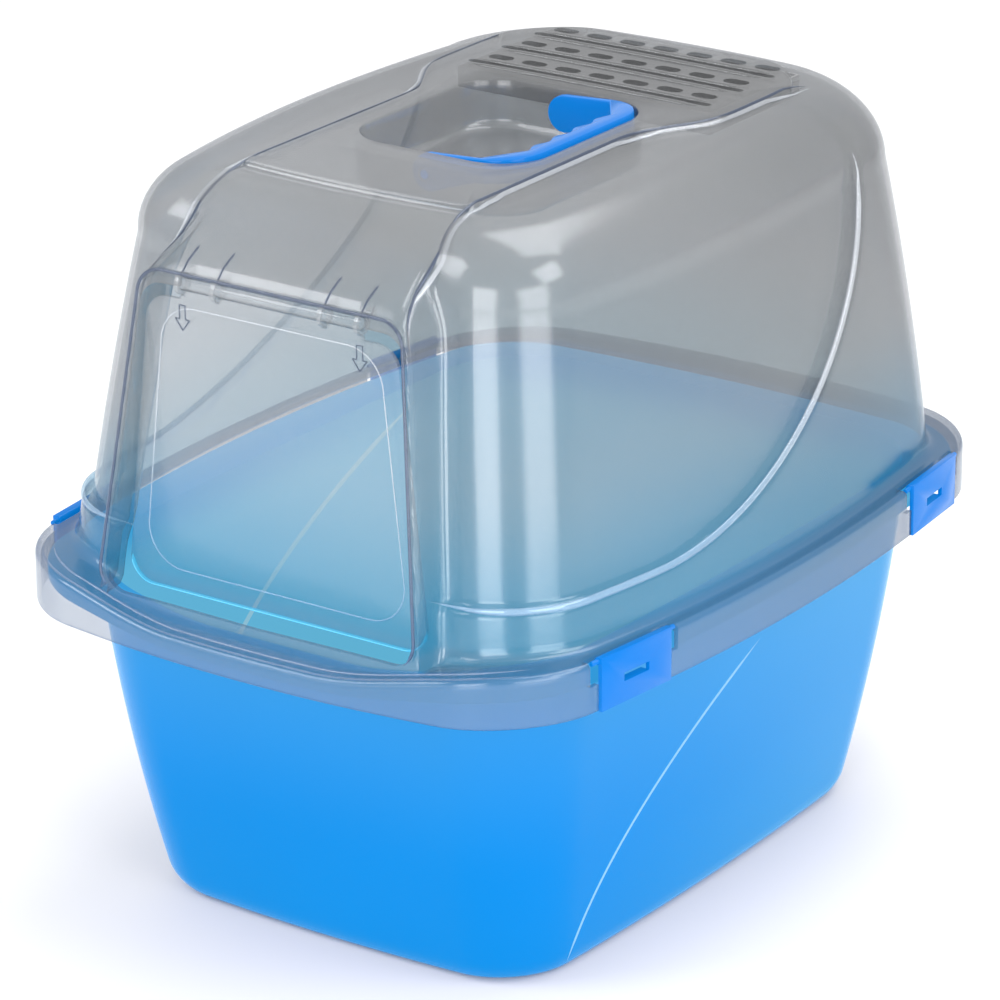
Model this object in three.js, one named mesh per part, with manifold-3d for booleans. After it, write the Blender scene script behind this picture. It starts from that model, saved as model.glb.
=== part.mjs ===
// A hooded cat litter box: a deep pan, a see-through hood with a swinging door flap, a carry handle folded
// into the roof, four side latches, and a filter tray under the vent. Millimetres, +Z up, the origin on the
// floor under the middle of the box, the doorway facing -Y.
import * as THREE from "three";
import { mergeVertices } from "three/addons/utils/BufferGeometryUtils.js";
import { ConvexGeometry } from "three/addons/geometries/ConvexGeometry.js";
import Module from "manifold-3d";

const wasm = await Module();
wasm.setup();

// ---------------------------------------------------------------- driving dimensions, mm
const WALL = 2.5; // wall of every moulding
const GAP = 0.3; // smallest clearance between two pieces

// Skirt: the widest outline, round the base of the hood
const SKIRT_HALF_WIDTH = 190;
const SKIRT_HALF_LENGTH = 249.4;
const SKIRT_CORNER = 54;
const SIDE_BOW = 22; // how far a long side stands out at its middle
const END_BOW = 17;
const SKIRT_BOTTOM = 178;
const SKIRT_HEIGHT = 28;

// Front dip: the ledge sags under the doorway
const DIP_DEPTH = 14.3;
const DIP_FLAT = 45; // half width over which the sag is full
const DIP_FADE = 105; // width over which it rises back to the ledge
const DIP_RAMP = 18; // height of skirt over which the sag builds up
const DIP_HOOD_FADE = 30; // height of hood wall over which it dies out

// Hood body
const LEDGE_SIDE = 14; // ledge width at the middle of the long sides
const LEDGE_FRONT = 35;
const LEDGE_REAR = 33.5;
const RIB_THICKNESS = 3; // ribs under the ledge
const HOOD_HEIGHT = 210; // ledge to roof
const HOOD_CORNER = 43;
const HOOD_TOP_FRONT_CORNER = 42;
const HOOD_TOP_REAR_CORNER = 75;
const HOOD_SIDE_BOW = 23;
const HOOD_END_BOW = 9;
const SIDE_TAPER = 0.163; // how far each wall leans in per unit of height
const FRONT_TAPER = 0.168;
const REAR_TAPER = 0.027;
const ROOF_FILLET = 41;
const HOOD_BULGE = 2; // how far the walls stand out at mid height
const UPPER_BOW = 0.7; // share of the bow left at the roof

// Swoop: a step that runs down each side from the roof and forward above the ledge
const SWOOP_STEP = 4.5; // how much further out the hood stands below and behind it
const SWOOP_ROOF_Y = 116; // where it leaves the roof
const SWOOP_REACH = 36; // how far its curve's handle reaches back
const SWOOP_FOOT_Y = -110; // where it levels out
const SWOOP_RISE = 24.5; // from the ledge up to its level stretch

// Raised roof panel
const PANEL_RISE = 3;
const PANEL_SLOPE = 5; // run of its sloping edge
const PANEL_FRONT = 98; // from its front edge to the front of the skirt
const PANEL_REAR = 83; // from its rear edge to the rear of the skirt
const PANEL_RECESS_MARGIN = 13; // beside the recess
const PANEL_ROOF_MARGIN = 13; // flat roof left beside the vent
const PANEL_JOG = 43; // length over which it widens
const PANEL_CORNER = 12; // its rear corners, cut off

// Portal: the tunnel that frames the doorway
const PORTAL_HALF_TOP = 84;
const PORTAL_HALF_BOTTOM = 104;
const PORTAL_DROP = 36; // from the roof down to the top of the frame
const SILL_DROP = 5; // from the top of the ledge down to the sill
const PORTAL_LEAN = 0.112; // how far the frame leans back per unit of height
const PORTAL_SETBACK = 14.4; // from the front of the skirt to the frame's foot
const PORTAL_CORNER = 16;
const PORTAL_SILL_SAG = 1.2; // how much lower the sill is at its middle
const LINTEL = 9;

// Door flap
const FLAP_THICKNESS = 2.5;
const FLAP_SIDE_GAP = 4;
const FLAP_BARREL = 3.4; // radius
const FLAP_SILL_GAP = 0.5; // how much higher the flap's bottom edge is than the sill
const FLAP_CORNER = 14;
const FIN_PLACES = [-57, -34, 34, 57];
const FIN_THICKNESS = 2.5;
const FIN_RING = 2; // wall of a fin round the barrel
const BARREL_GAP = 0.4;
const FIN_SIDE_GAP = 0.6;

// Handle recess and handle
const RECESS_HALF_WIDTH = 57;
const RECESS_HALF_LENGTH = 67;
const RECESS_CENTRE_Y = -9;
const RECESS_CORNER = 28;
const RECESS_DEPTH = 28;
const HANDLE_GAP = 1.2; // between the bail and the recess wall
const HANDLE_ARM = 5; // thickness of an arm
const HANDLE_END = 10.5; // radius of an arm's round end
const HANDLE_PIN = 3; // radius
const HANDLE_GRIP_DEPTH = 13;
const HANDLE_GRIP_WIDTH = 10;
const HANDLE_WAVE = 1.6; // height of the finger waves
const HANDLE_WAVES = 4;
const HANDLE_PIVOT_DROP = 12.5; // below the roof panel
const HANDLE_REST_TILT = 3.5; // degrees that the folded handle stands up

// Vent
const VENT_GAP = 18; // from the recess to the first slot
const VENT_PITCH = 32.3; // from one row of the vent to the next
const VENT_HOLE_OFFSET = 13.3; // from a slot to the row of holes behind it
const VENT_REAR_MARGIN = 11; // behind the last row of holes
const VENT_SIDE_MARGIN = 15; // beside the slots
const VENT_SLOT_WIDTH = 5;
const VENT_HOLE_PITCH = 22.3;
const VENT_HOLE_LENGTH = 15.6;
const VENT_HOLE_WIDTH = 8;

// Filter and its tray
const FILTER_THICKNESS = 6;
const TRAY_WALL = 1.6;
const TRAY_HEIGHT = 12;
const TRAY_MARGIN = 2; // from the vent's slots and holes to the inside of the tray
const TRAY_RIBS = 6;

// Latches
const LATCH_SETBACK = 99.4; // from a latch's middle to the end of the skirt
const LATCH_WIDTH = 56;
const LATCH_PLATE = 2.5;
const LATCH_PIVOT_IN = 3; // from the skirt's face to the hinge line
const LATCH_PIVOT_DROP = 0.7; // below the top of the ledge
const LATCH_BARREL = 2.2;
const LATCH_PIN = 1.4;
const LATCH_PIN_LENGTH = 5;
const LATCH_WINDOW_WIDTH = 20;
const LATCH_WINDOW_HEIGHT = 7;
const LATCH_WINDOW_BOTTOM = 9; // above the latch's lower edge
const LATCH_BARB_HEIGHT = 4;
const LATCH_BOSS = 8; // length of the hood's boss on each side of a latch

// Pan
const PAN_TOP_INSET_SIDE = 32; // from the skirt to the pan's wall at rim height
const PAN_TOP_INSET_END = 35;
const PAN_CORNER = 57;
const PAN_BASE_CORNER = 42;
const PAN_SIDE_DRAFT = 0.129;
const PAN_END_DRAFT = 0.185;
const PAN_FOOT_FILLET = 14;
const PAN_FOOT_INSET = 9;
const PAN_BOW = 6;
const PAN_BULGE = 3; // how far the walls stand out at mid height
const RIM_DROP = 6; // from the top of the ledge to the top of the pan's rim
const RIM_INSET = 6; // from the skirt's outer face to the rim's lip
const LIP_HEIGHT = 10;

// ---------------------------------------------------------------- values that follow from them
const LEDGE_TOP = SKIRT_BOTTOM + SKIRT_HEIGHT;
const ROOF = LEDGE_TOP + HOOD_HEIGHT;
const PANEL_TOP = ROOF + PANEL_RISE;
const RIM_TOP = LEDGE_TOP - RIM_DROP;
const LATCH_PLACE = SKIRT_HALF_LENGTH - LATCH_SETBACK; // along Y from the middle
const PORTAL_FOOT_Y = -SKIRT_HALF_LENGTH + PORTAL_SETBACK;
const PANEL_FRONT_Y = -SKIRT_HALF_LENGTH + PANEL_FRONT;
const PANEL_REAR_Y = SKIRT_HALF_LENGTH - PANEL_REAR;
const PORTAL_TOP = ROOF - PORTAL_DROP;
const PORTAL_SILL = LEDGE_TOP - SILL_DROP;
const ROOF_HALF_WIDTH =
  SKIRT_HALF_WIDTH - LEDGE_SIDE - SIDE_TAPER * (HOOD_HEIGHT - ROOF_FILLET) - ROOF_FILLET;
const PANEL_NARROW = RECESS_HALF_WIDTH + PANEL_RECESS_MARGIN; // half width beside the recess
const PANEL_WIDE = ROOF_HALF_WIDTH - PANEL_ROOF_MARGIN; // half width beside the vent
const VENT_HALF_LENGTH = PANEL_WIDE - VENT_SIDE_MARGIN;
const VENT_FRONT_Y = RECESS_CENTRE_Y + RECESS_HALF_LENGTH + VENT_GAP;
const VENT_LAST_SLOT = PANEL_REAR_Y - VENT_REAR_MARGIN - VENT_HOLE_OFFSET;
const VENT_ROWS = Math.floor((VENT_LAST_SLOT - VENT_FRONT_Y) / VENT_PITCH) + 1;
const VENT_SLOTS = Array.from({ length: VENT_ROWS }, (_, i) => VENT_FRONT_Y + i * VENT_PITCH);
const VENT_HOLE_ROWS = VENT_SLOTS.map((y) => y + VENT_HOLE_OFFSET);
const VENT_HOLES_PER_ROW = Math.floor((2 * VENT_HALF_LENGTH) / VENT_HOLE_PITCH);

// ---------------------------------------------------------------- solids
const MERGE = 1e-4;

/** A manifold solid from a closed three.js geometry. */
function solidOf(geometry) {
  const bare = geometry.clone();
  bare.deleteAttribute("normal");
  bare.deleteAttribute("uv");
  const merged = mergeVertices(bare, MERGE);
  const vertProperties = new Float32Array(merged.attributes.position.array);
  const triVerts = new Uint32Array(merged.index.array);
  return new wasm.Manifold(new wasm.Mesh({ numProp: 3, vertProperties, triVerts }));
}

/** A three.js geometry with flat normals from a manifold solid. */
function geometryOf(solid) {
  const mesh = solid.getMesh();
  const indexed = new THREE.BufferGeometry();
  indexed.setAttribute("position", new THREE.BufferAttribute(mesh.vertProperties, 3));
  indexed.setIndex(new THREE.BufferAttribute(mesh.triVerts, 1));
  const geometry = indexed.toNonIndexed();
  geometry.computeVertexNormals();
  return geometry;
}

const join = (...solids) => solids.reduce((whole, next) => whole.add(next));
const cut = (solid, ...tools) => tools.reduce((left, tool) => left.subtract(tool), solid);

/** A box from its lowest and highest corners, moved by an optional matrix. */
function box(low, high, matrix = new THREE.Matrix4()) {
  const geometry = new THREE.BoxGeometry(high[0] - low[0], high[1] - low[1], high[2] - low[2]);
  geometry.translate((low[0] + high[0]) / 2, (low[1] + high[1]) / 2, (low[2] + high[2]) / 2);
  return solidOf(geometry.applyMatrix4(matrix));
}

/** A round rod along X or Y between two ends, at one place in the other two directions. */
function rod(along, from, to, place, radius, sides = 16, matrix = new THREE.Matrix4()) {
  const geometry = new THREE.CylinderGeometry(radius, radius, to - from, sides);
  if (along === "x") geometry.rotateZ(-Math.PI / 2);
  const middle = (from + to) / 2;
  if (along === "x") geometry.translate(middle, place[0], place[1]);
  else geometry.translate(place[0], middle, place[1]);
  return solidOf(geometry.applyMatrix4(matrix));
}

/** The convex solid round a list of points. */
const hull = (points) => solidOf(new ConvexGeometry(points));

/** A straight prism: an outline of [x, y] points pushed up from one height to another. */
function prism(points, bottom, top) {
  const shape = new THREE.Shape(points.map(([x, y]) => new THREE.Vector2(x, y)));
  const geometry = new THREE.ExtrudeGeometry(shape, { depth: top - bottom, bevelEnabled: false });
  return solidOf(geometry.translate(0, 0, bottom));
}

/** A solid through a stack of rings with equal numbers of points, closed by a fan at each end. */
function loft(rings) {
  const count = rings[0].length;
  const points = rings.flat();
  const faces = [];
  for (let level = 0; level + 1 < rings.length; level += 1)
    for (let i = 0; i < count; i += 1) {
      const a = level * count + i;
      const b = level * count + ((i + 1) % count);
      faces.push(a, b, b + count, a, b + count, a + count);
    }
  const centre = (ring) => ring.reduce((sum, p) => sum.add(p), new THREE.Vector3()).divideScalar(count);
  const bottom = points.push(centre(rings[0])) - 1;
  const top = points.push(centre(rings.at(-1))) - 1;
  const last = (rings.length - 1) * count;
  for (let i = 0; i < count; i += 1) {
    const next = (i + 1) % count;
    faces.push(bottom, next, i, top, last + i, last + next);
  }
  const geometry = new THREE.BufferGeometry().setFromPoints(points);
  return solidOf(geometry.setIndex(faces));
}

// ---------------------------------------------------------------- outlines
const CORNER_STEPS = 6;
const SIDE_STEPS = 3;
const SWOOP_STEPS = 10;
const CORNER_SHRINK = 0.6; // how much a corner's radius shrinks per unit of inset

/** One quarter of a rounded rectangle, from the middle of its +X side to the middle of its +Y side. */
function quarter(halfX, halfY, corner) {
  const points = [];
  for (let i = 0; i < SIDE_STEPS; i += 1) points.push([halfX, ((halfY - corner) * i) / SIDE_STEPS]);
  for (let i = 0; i <= CORNER_STEPS; i += 1) {
    const angle = (Math.PI / 2) * (i / CORNER_STEPS);
    points.push([halfX - corner + corner * Math.cos(angle), halfY - corner + corner * Math.sin(angle)]);
  }
  for (let i = SIDE_STEPS - 1; i >= 0; i -= 1) points.push([((halfX - corner) * i) / SIDE_STEPS, halfY]);
  return points;
}

/**
 * Plan outline of a rounded rectangle whose sides bow outwards: x and y are pulled in by the bow times the
 * square of the way along the side. front and back are its reaches along -Y and +Y.
 */
function outline({ halfX, front, back, corner, rearCorner = corner, bowX = 0, bowY = 0 }) {
  const bowed = ([x, y], halfY) => [
    x - bowX * (y / halfY) ** 2 * (x / halfX),
    y - bowY * (x / halfX) ** 2 * (y / halfY),
  ];
  const rear = quarter(halfX, back, rearCorner).map((point) => bowed(point, back));
  const fore = quarter(halfX, front, corner).map((point) => bowed(point, front));
  const turned = (points, signX, signY) => points.map(([x, y]) => [x * signX, y * signY]);
  return [
    ...rear.slice(0, -1),
    ...turned([...rear].reverse(), -1, 1).slice(0, -1),
    ...turned(fore, -1, -1).slice(0, -1),
    ...turned([...fore].reverse(), 1, -1).slice(0, -1),
  ];
}

const smooth = (value) => {
  const t = Math.min(1, Math.max(0, value));
  return t * t * (3 - 2 * t);
};

/** How far the ledge sags at a place: full under the doorway, none elsewhere. */
function dipAt(x, y, z) {
  const across = 1 - smooth((Math.abs(x) - DIP_FLAT) / DIP_FADE);
  const front = smooth((-y - SKIRT_HALF_LENGTH * 0.6) / (SKIRT_HALF_LENGTH * 0.2));
  const up = Math.min(1, Math.max(0, (z - SKIRT_BOTTOM) / DIP_RAMP));
  const down = 1 - Math.min(1, Math.max(0, (z - LEDGE_TOP) / DIP_HOOD_FADE));
  return DIP_DEPTH * across * front * up * down;
}

/** An outline as a ring of points at one height, sagging at the front dip. */
const ring = (shape, z) =>
  outline(shape).map(([x, y]) => new THREE.Vector3(x, y, z - dipAt(x, y, z)));

/** The skirt's outline, moved inwards by a distance. */
const skirtShape = (inset) => ({
  halfX: SKIRT_HALF_WIDTH - inset,
  front: SKIRT_HALF_LENGTH - inset,
  back: SKIRT_HALF_LENGTH - inset,
  corner: SKIRT_CORNER - inset,
  bowX: SIDE_BOW,
  bowY: END_BOW,
});

/** The hood body's outline at a height, moved inwards by a distance. */
function hoodShape(z, inset) {
  const rise = z - LEDGE_TOP;
  const share = rise / HOOD_HEIGHT;
  const reach = 4 * HOOD_BULGE * share * (1 - share) - inset;
  return {
    halfX: SKIRT_HALF_WIDTH - LEDGE_SIDE - SIDE_TAPER * rise + reach,
    front: SKIRT_HALF_LENGTH - LEDGE_FRONT - FRONT_TAPER * rise + reach,
    back: SKIRT_HALF_LENGTH - LEDGE_REAR - REAR_TAPER * rise + reach,
    corner: HOOD_CORNER + (HOOD_TOP_FRONT_CORNER - HOOD_CORNER) * share - inset * CORNER_SHRINK,
    rearCorner: HOOD_CORNER + (HOOD_TOP_REAR_CORNER - HOOD_CORNER) * share - inset * CORNER_SHRINK,
    bowX: HOOD_SIDE_BOW * (1 - (1 - UPPER_BOW) * share),
    bowY: HOOD_END_BOW * (1 - (1 - UPPER_BOW) * share),
  };
}

/**
 * The rings of the hood body, from the ledge to the roof, moved inwards by a distance. Its walls are moved
 * outwards by another, which dies out over the rounding into the roof.
 */
function hoodRings(bottom, inset, proud) {
  const shoulder = ROOF - ROOF_FILLET;
  const levels = [bottom, LEDGE_TOP + DIP_HOOD_FADE, (LEDGE_TOP + shoulder) / 2];
  const rings = levels.map((z) => ring(hoodShape(z, inset - proud), z));
  const radius = ROOF_FILLET - inset;
  const steps = 6;
  for (let i = 0; i <= steps; i += 1) {
    const angle = (Math.PI / 2) * (i / steps);
    const z = shoulder + radius * Math.sin(angle);
    const reach = radius * (1 - Math.cos(angle)) - proud * (1 - i / steps);
    rings.push(ring(hoodShape(shoulder, inset + reach), z));
  }
  return rings;
}

/** Everything below and behind the swoop, right across the hood, moved back and down by a distance. */
function swoopRegion(shift) {
  const level = LEDGE_TOP + SWOOP_RISE;
  const curve = new THREE.CubicBezierCurve(
    new THREE.Vector2(SWOOP_ROOF_Y, ROOF),
    new THREE.Vector2(SWOOP_ROOF_Y + SWOOP_REACH, ROOF - (ROOF - level) / 2),
    new THREE.Vector2((SWOOP_ROOF_Y + SWOOP_FOOT_Y) / 2, level),
    new THREE.Vector2(SWOOP_FOOT_Y, level),
  );
  const end = 2 * SKIRT_HALF_LENGTH;
  const points = curve.getPoints(SWOOP_STEPS).map(({ x, y }) => [x + shift, y - shift]);
  const region = [...points, [-end, level - shift], [-end, SKIRT_BOTTOM], [end, SKIRT_BOTTOM], [end, ROOF]];
  const slab = new THREE.Shape(region.map(([y, z]) => new THREE.Vector2(y, z)));
  const depth = 2 * SKIRT_HALF_WIDTH;
  const geometry = new THREE.ExtrudeGeometry(slab, { depth, bevelEnabled: false });
  const turn = new THREE.Matrix4().set(0, 0, 1, -depth / 2, 1, 0, 0, 0, 0, 1, 0, 0, 0, 0, 0, 1);
  return solidOf(geometry.applyMatrix4(turn));
}

// ---------------------------------------------------------------- pan
/** The pan's outline at a height, moved inwards by a distance. */
function panShape(z, inset) {
  const drop = RIM_TOP - z;
  const share = drop / RIM_TOP;
  const reach = 4 * PAN_BULGE * share * (1 - share) - inset;
  const halfLength = SKIRT_HALF_LENGTH - PAN_TOP_INSET_END - PAN_END_DRAFT * drop + reach;
  return {
    halfX: SKIRT_HALF_WIDTH - PAN_TOP_INSET_SIDE - PAN_SIDE_DRAFT * drop + reach,
    front: halfLength,
    back: halfLength,
    corner: PAN_CORNER + (PAN_BASE_CORNER - PAN_CORNER) * share - inset * CORNER_SHRINK,
    bowX: PAN_BOW,
    bowY: PAN_BOW,
  };
}

/** The rings of the pan's wall, from its foot to a height, moved inwards by a distance. */
function panRings(foot, top, inset) {
  const steps = 4;
  const rings = [];
  for (let i = 0; i <= steps; i += 1) {
    const angle = (Math.PI / 2) * (i / steps);
    const z = foot + (PAN_FOOT_FILLET - inset) * (1 - Math.cos(angle));
    rings.push(ring(panShape(z, inset + PAN_FOOT_INSET * (1 - Math.sin(angle))), z));
  }
  const walls = [SKIRT_BOTTOM / 3, (2 * SKIRT_BOTTOM) / 3, SKIRT_BOTTOM, SKIRT_BOTTOM + DIP_RAMP, top];
  for (const z of walls) rings.push(ring(panShape(z, inset), z));
  return rings;
}

function litterPan() {
  const lipBottom = RIM_TOP - LIP_HEIGHT;
  const rim = loft([ring(skirtShape(RIM_INSET), lipBottom), ring(skirtShape(RIM_INSET), RIM_TOP)]);
  const below = SKIRT_BOTTOM - 2;
  const underside = [below, lipBottom, RIM_TOP - WALL];
  const underRim = loft(underside.map((z) => ring(skirtShape(RIM_INSET + WALL), z)));
  const tub = loft(panRings(0, RIM_TOP - GAP, 0));
  const inside = loft(panRings(WALL, RIM_TOP + WALL, WALL));
  return cut(join(cut(rim, underRim), tub), inside);
}

// ---------------------------------------------------------------- portal and flap
const portalY = (z) => PORTAL_FOOT_Y + PORTAL_LEAN * (z - PORTAL_SILL);
const portalHalf = (z) => {
  const share = (z - PORTAL_SILL) / (PORTAL_TOP - PORTAL_SILL);
  return PORTAL_HALF_BOTTOM + (PORTAL_HALF_TOP - PORTAL_HALF_BOTTOM) * share;
};

/** The frame's outline as [x, z] points: straight leaning sides and rounded corners. */
function frameOutline(inset, bottom, top, corner, sag) {
  const steps = 5;
  const points = [];
  const corners = [
    [1, bottom, -90, 1],
    [1, top, 0, -1],
    [-1, top, 90, -1],
    [-1, bottom, 180, 1],
  ];
  for (const [side, z, start, inward] of corners)
    for (let i = 0; i <= steps; i += 1) {
      const angle = THREE.MathUtils.degToRad(start + (90 * i) / steps);
      const centreZ = z + inward * corner;
      const centreX = side * (portalHalf(centreZ) - inset - corner);
      points.push([centreX + corner * Math.cos(angle), centreZ + corner * Math.sin(angle)]);
    }
  if (sag > 0) points.push([0, bottom - sag]);
  return points;
}

/** The portal's convex block: the leaning frame, the sloping panel above it, and a back inside the hood. */
function portalBlock(inset, bottom, frontInset) {
  const back = PANEL_FRONT_Y + 20;
  const corner = PORTAL_CORNER - inset;
  const frame = frameOutline(inset, bottom, PORTAL_TOP - inset, corner, 0);
  const points = [];
  for (const [x, z] of frame) {
    points.push(new THREE.Vector3(x, portalY(z) + frontInset, z));
    points.push(new THREE.Vector3(x, back, z));
  }
  for (const side of [-1, 1]) {
    const x = side * (PANEL_NARROW - PANEL_SLOPE - inset);
    points.push(new THREE.Vector3(x, PANEL_FRONT_Y, ROOF - 1 - inset));
    points.push(new THREE.Vector3(x, back, ROOF - 1 - inset));
  }
  return hull(points);
}

/** A slab of the frame's outline, right through the portal's front. */
function doorwayCut() {
  const front = -SKIRT_HALF_LENGTH - WALL;
  const back = PORTAL_FOOT_Y + SKIRT_HEIGHT;
  const opening = frameOutline(WALL, PORTAL_SILL, PORTAL_TOP - LINTEL, PORTAL_CORNER - WALL, PORTAL_SILL_SAG);
  const points = opening.flatMap(([x, z]) => [new THREE.Vector3(x, front, z), new THREE.Vector3(x, back, z)]);
  return hull(points);
}

const BARREL_Z = PORTAL_TOP - WALL - FLAP_BARREL - 2 * BARREL_GAP;
const BARREL_Y = portalY(BARREL_Z) + WALL + 0.3;
const BARREL_END = FIN_PLACES.at(-1) + FIN_THICKNESS / 2;
const SWING_CLEAR = FLAP_BARREL + BARREL_GAP + FIN_RING + 0.6;

/** The hood's four fins, each a ring round the flap's barrel hung from the sloping panel. */
function flapFins() {
  const ringRadius = FLAP_BARREL + BARREL_GAP + FIN_RING;
  return FIN_PLACES.map((x) => {
    const from = x - FIN_THICKNESS / 2;
    const to = x + FIN_THICKNESS / 2;
    const disc = rod("x", from, to, [BARREL_Y, BARREL_Z], ringRadius, 16);
    const back = BARREL_Y + ringRadius + 4;
    const web = box([from, BARREL_Y, BARREL_Z + FIN_RING], [to, back, BARREL_Z + 3 * FIN_RING]);
    return join(disc, web);
  });
}

function doorFlap() {
  const bottom = PORTAL_SILL + FLAP_SILL_GAP;
  const shoulder = BARREL_Z - SWING_CLEAR - 2;
  const front = BARREL_Y - FLAP_THICKNESS / 2;
  const back = BARREL_Y + FLAP_THICKNESS / 2;
  const panel = frameOutline(WALL + FLAP_SIDE_GAP, bottom, shoulder, FLAP_CORNER, 0);
  const sheet = hull(panel.flatMap(([x, z]) => [new THREE.Vector3(x, front, z), new THREE.Vector3(x, back, z)]));
  const neck = box([-BARREL_END, front, shoulder - FLAP_CORNER], [BARREL_END, back, BARREL_Z]);
  const barrel = rod("x", -BARREL_END, BARREL_END, [BARREL_Y, BARREL_Z], FLAP_BARREL, 16);
  const slots = FIN_PLACES.map((x) => {
    const half = FIN_THICKNESS / 2 + FIN_SIDE_GAP;
    return box([x - half, front - WALL, BARREL_Z - SWING_CLEAR], [x + half, back + WALL, BARREL_Z + WALL]);
  });
  return join(cut(join(sheet, neck), ...slots), barrel);
}

// ---------------------------------------------------------------- roof panel, recess and vent
const PANEL_JOG_FRONT = VENT_SLOTS[0] - VENT_SLOT_WIDTH - PANEL_JOG - 10;

/** The raised panel's outline, grown outwards by a distance. */
function panelOutline(grow) {
  const half = [
    [PANEL_NARROW + grow, PANEL_FRONT_Y - grow],
    [PANEL_NARROW + grow, PANEL_JOG_FRONT - grow],
    [PANEL_WIDE + grow, PANEL_JOG_FRONT + PANEL_JOG - grow],
    [PANEL_WIDE + grow, PANEL_REAR_Y + grow - PANEL_CORNER],
    [PANEL_WIDE + grow - PANEL_CORNER, PANEL_REAR_Y + grow],
  ];
  return [...half, ...half.map(([x, y]) => [-x, y]).reverse()];
}

function roofPanel() {
  const level = (grow, z) => panelOutline(grow).map(([x, y]) => new THREE.Vector3(x, y, z));
  return loft([level(PANEL_SLOPE, ROOF - WALL), level(PANEL_SLOPE, ROOF - 0.5), level(0, PANEL_TOP)]);
}

/** The recess's outline, grown outwards by a distance. */
function recessOutline(grow) {
  const shape = {
    halfX: RECESS_HALF_WIDTH + grow,
    front: RECESS_HALF_LENGTH + grow,
    back: RECESS_HALF_LENGTH + grow,
    corner: RECESS_CORNER + grow,
  };
  return outline(shape).map(([x, y]) => [x, y + RECESS_CENTRE_Y]);
}

const PIVOT_Z = PANEL_TOP - HANDLE_PIVOT_DROP;

function ventCuts() {
  const low = ROOF - 2 * WALL;
  const high = PANEL_TOP + WALL;
  const slots = VENT_SLOTS.map((y) =>
    box(
      [-VENT_HALF_LENGTH, y - VENT_SLOT_WIDTH / 2, low],
      [VENT_HALF_LENGTH, y + VENT_SLOT_WIDTH / 2, high],
    ),
  );
  const round = VENT_HOLE_WIDTH / 2;
  const reach = VENT_HOLE_LENGTH / 2 - round;
  const oblong = [];
  for (let i = 0; i <= 8; i += 1) {
    const angle = -Math.PI / 2 + (Math.PI * i) / 8;
    oblong.push([reach + round * Math.cos(angle), round * Math.sin(angle)]);
  }
  const whole = [...oblong, ...oblong.map(([x, y]) => [-x, -y])];
  const holes = VENT_HOLE_ROWS.flatMap((y) =>
    Array.from({ length: VENT_HOLES_PER_ROW }, (_, i) => {
      const x = (i - (VENT_HOLES_PER_ROW - 1) / 2) * VENT_HOLE_PITCH;
      return prism(whole.map(([px, py]) => [px + x, py + y]), low, high);
    }),
  );
  return [...slots, ...holes];
}

// ---------------------------------------------------------------- filter tray
const TRAY_HALF_X = VENT_HALF_LENGTH + TRAY_MARGIN + TRAY_WALL;
const TRAY_FRONT = VENT_SLOTS[0] - VENT_SLOT_WIDTH / 2 - TRAY_MARGIN - TRAY_WALL;
const TRAY_REAR = VENT_HOLE_ROWS.at(-1) + VENT_HOLE_WIDTH / 2 + TRAY_MARGIN + TRAY_WALL;
const TRAY_TOP = PANEL_TOP - WALL - GAP;

/** The hood's two ribs that hold the tray between them. */
function trayRibs() {
  return [-1, 1].map((side) => {
    const near = side * (TRAY_HALF_X + GAP);
    const far = side * (TRAY_HALF_X + GAP + WALL);
    return box(
      [Math.min(near, far), TRAY_FRONT + 8, TRAY_TOP - TRAY_HEIGHT + 2],
      [Math.max(near, far), TRAY_REAR - 8, TRAY_TOP + WALL / 2 + GAP],
    );
  });
}

function filterTray() {
  const bottom = TRAY_TOP - TRAY_HEIGHT;
  const outer = box([-TRAY_HALF_X, TRAY_FRONT, bottom], [TRAY_HALF_X, TRAY_REAR, TRAY_TOP]);
  const inner = box(
    [-TRAY_HALF_X + TRAY_WALL, TRAY_FRONT + TRAY_WALL, bottom + TRAY_WALL],
    [TRAY_HALF_X - TRAY_WALL, TRAY_REAR - TRAY_WALL, TRAY_TOP + WALL],
  );
  const pitch = (2 * (TRAY_HALF_X - TRAY_WALL)) / TRAY_RIBS;
  const slots = Array.from({ length: TRAY_RIBS }, (_, i) => {
    const x = -TRAY_HALF_X + TRAY_WALL + pitch * (i + 0.5);
    return box(
      [x - pitch * 0.38, TRAY_FRONT + 3 * TRAY_WALL, bottom - WALL],
      [x + pitch * 0.38, TRAY_REAR - 3 * TRAY_WALL, bottom + WALL],
    );
  });
  return cut(outer, inner, ...slots);
}

function airFilter() {
  const bottom = TRAY_TOP - TRAY_HEIGHT + TRAY_WALL + GAP;
  return box(
    [-TRAY_HALF_X + TRAY_WALL + GAP, TRAY_FRONT + TRAY_WALL + GAP, bottom],
    [TRAY_HALF_X - TRAY_WALL - GAP, TRAY_REAR - TRAY_WALL - GAP, bottom + FILTER_THICKNESS],
  );
}

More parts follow.
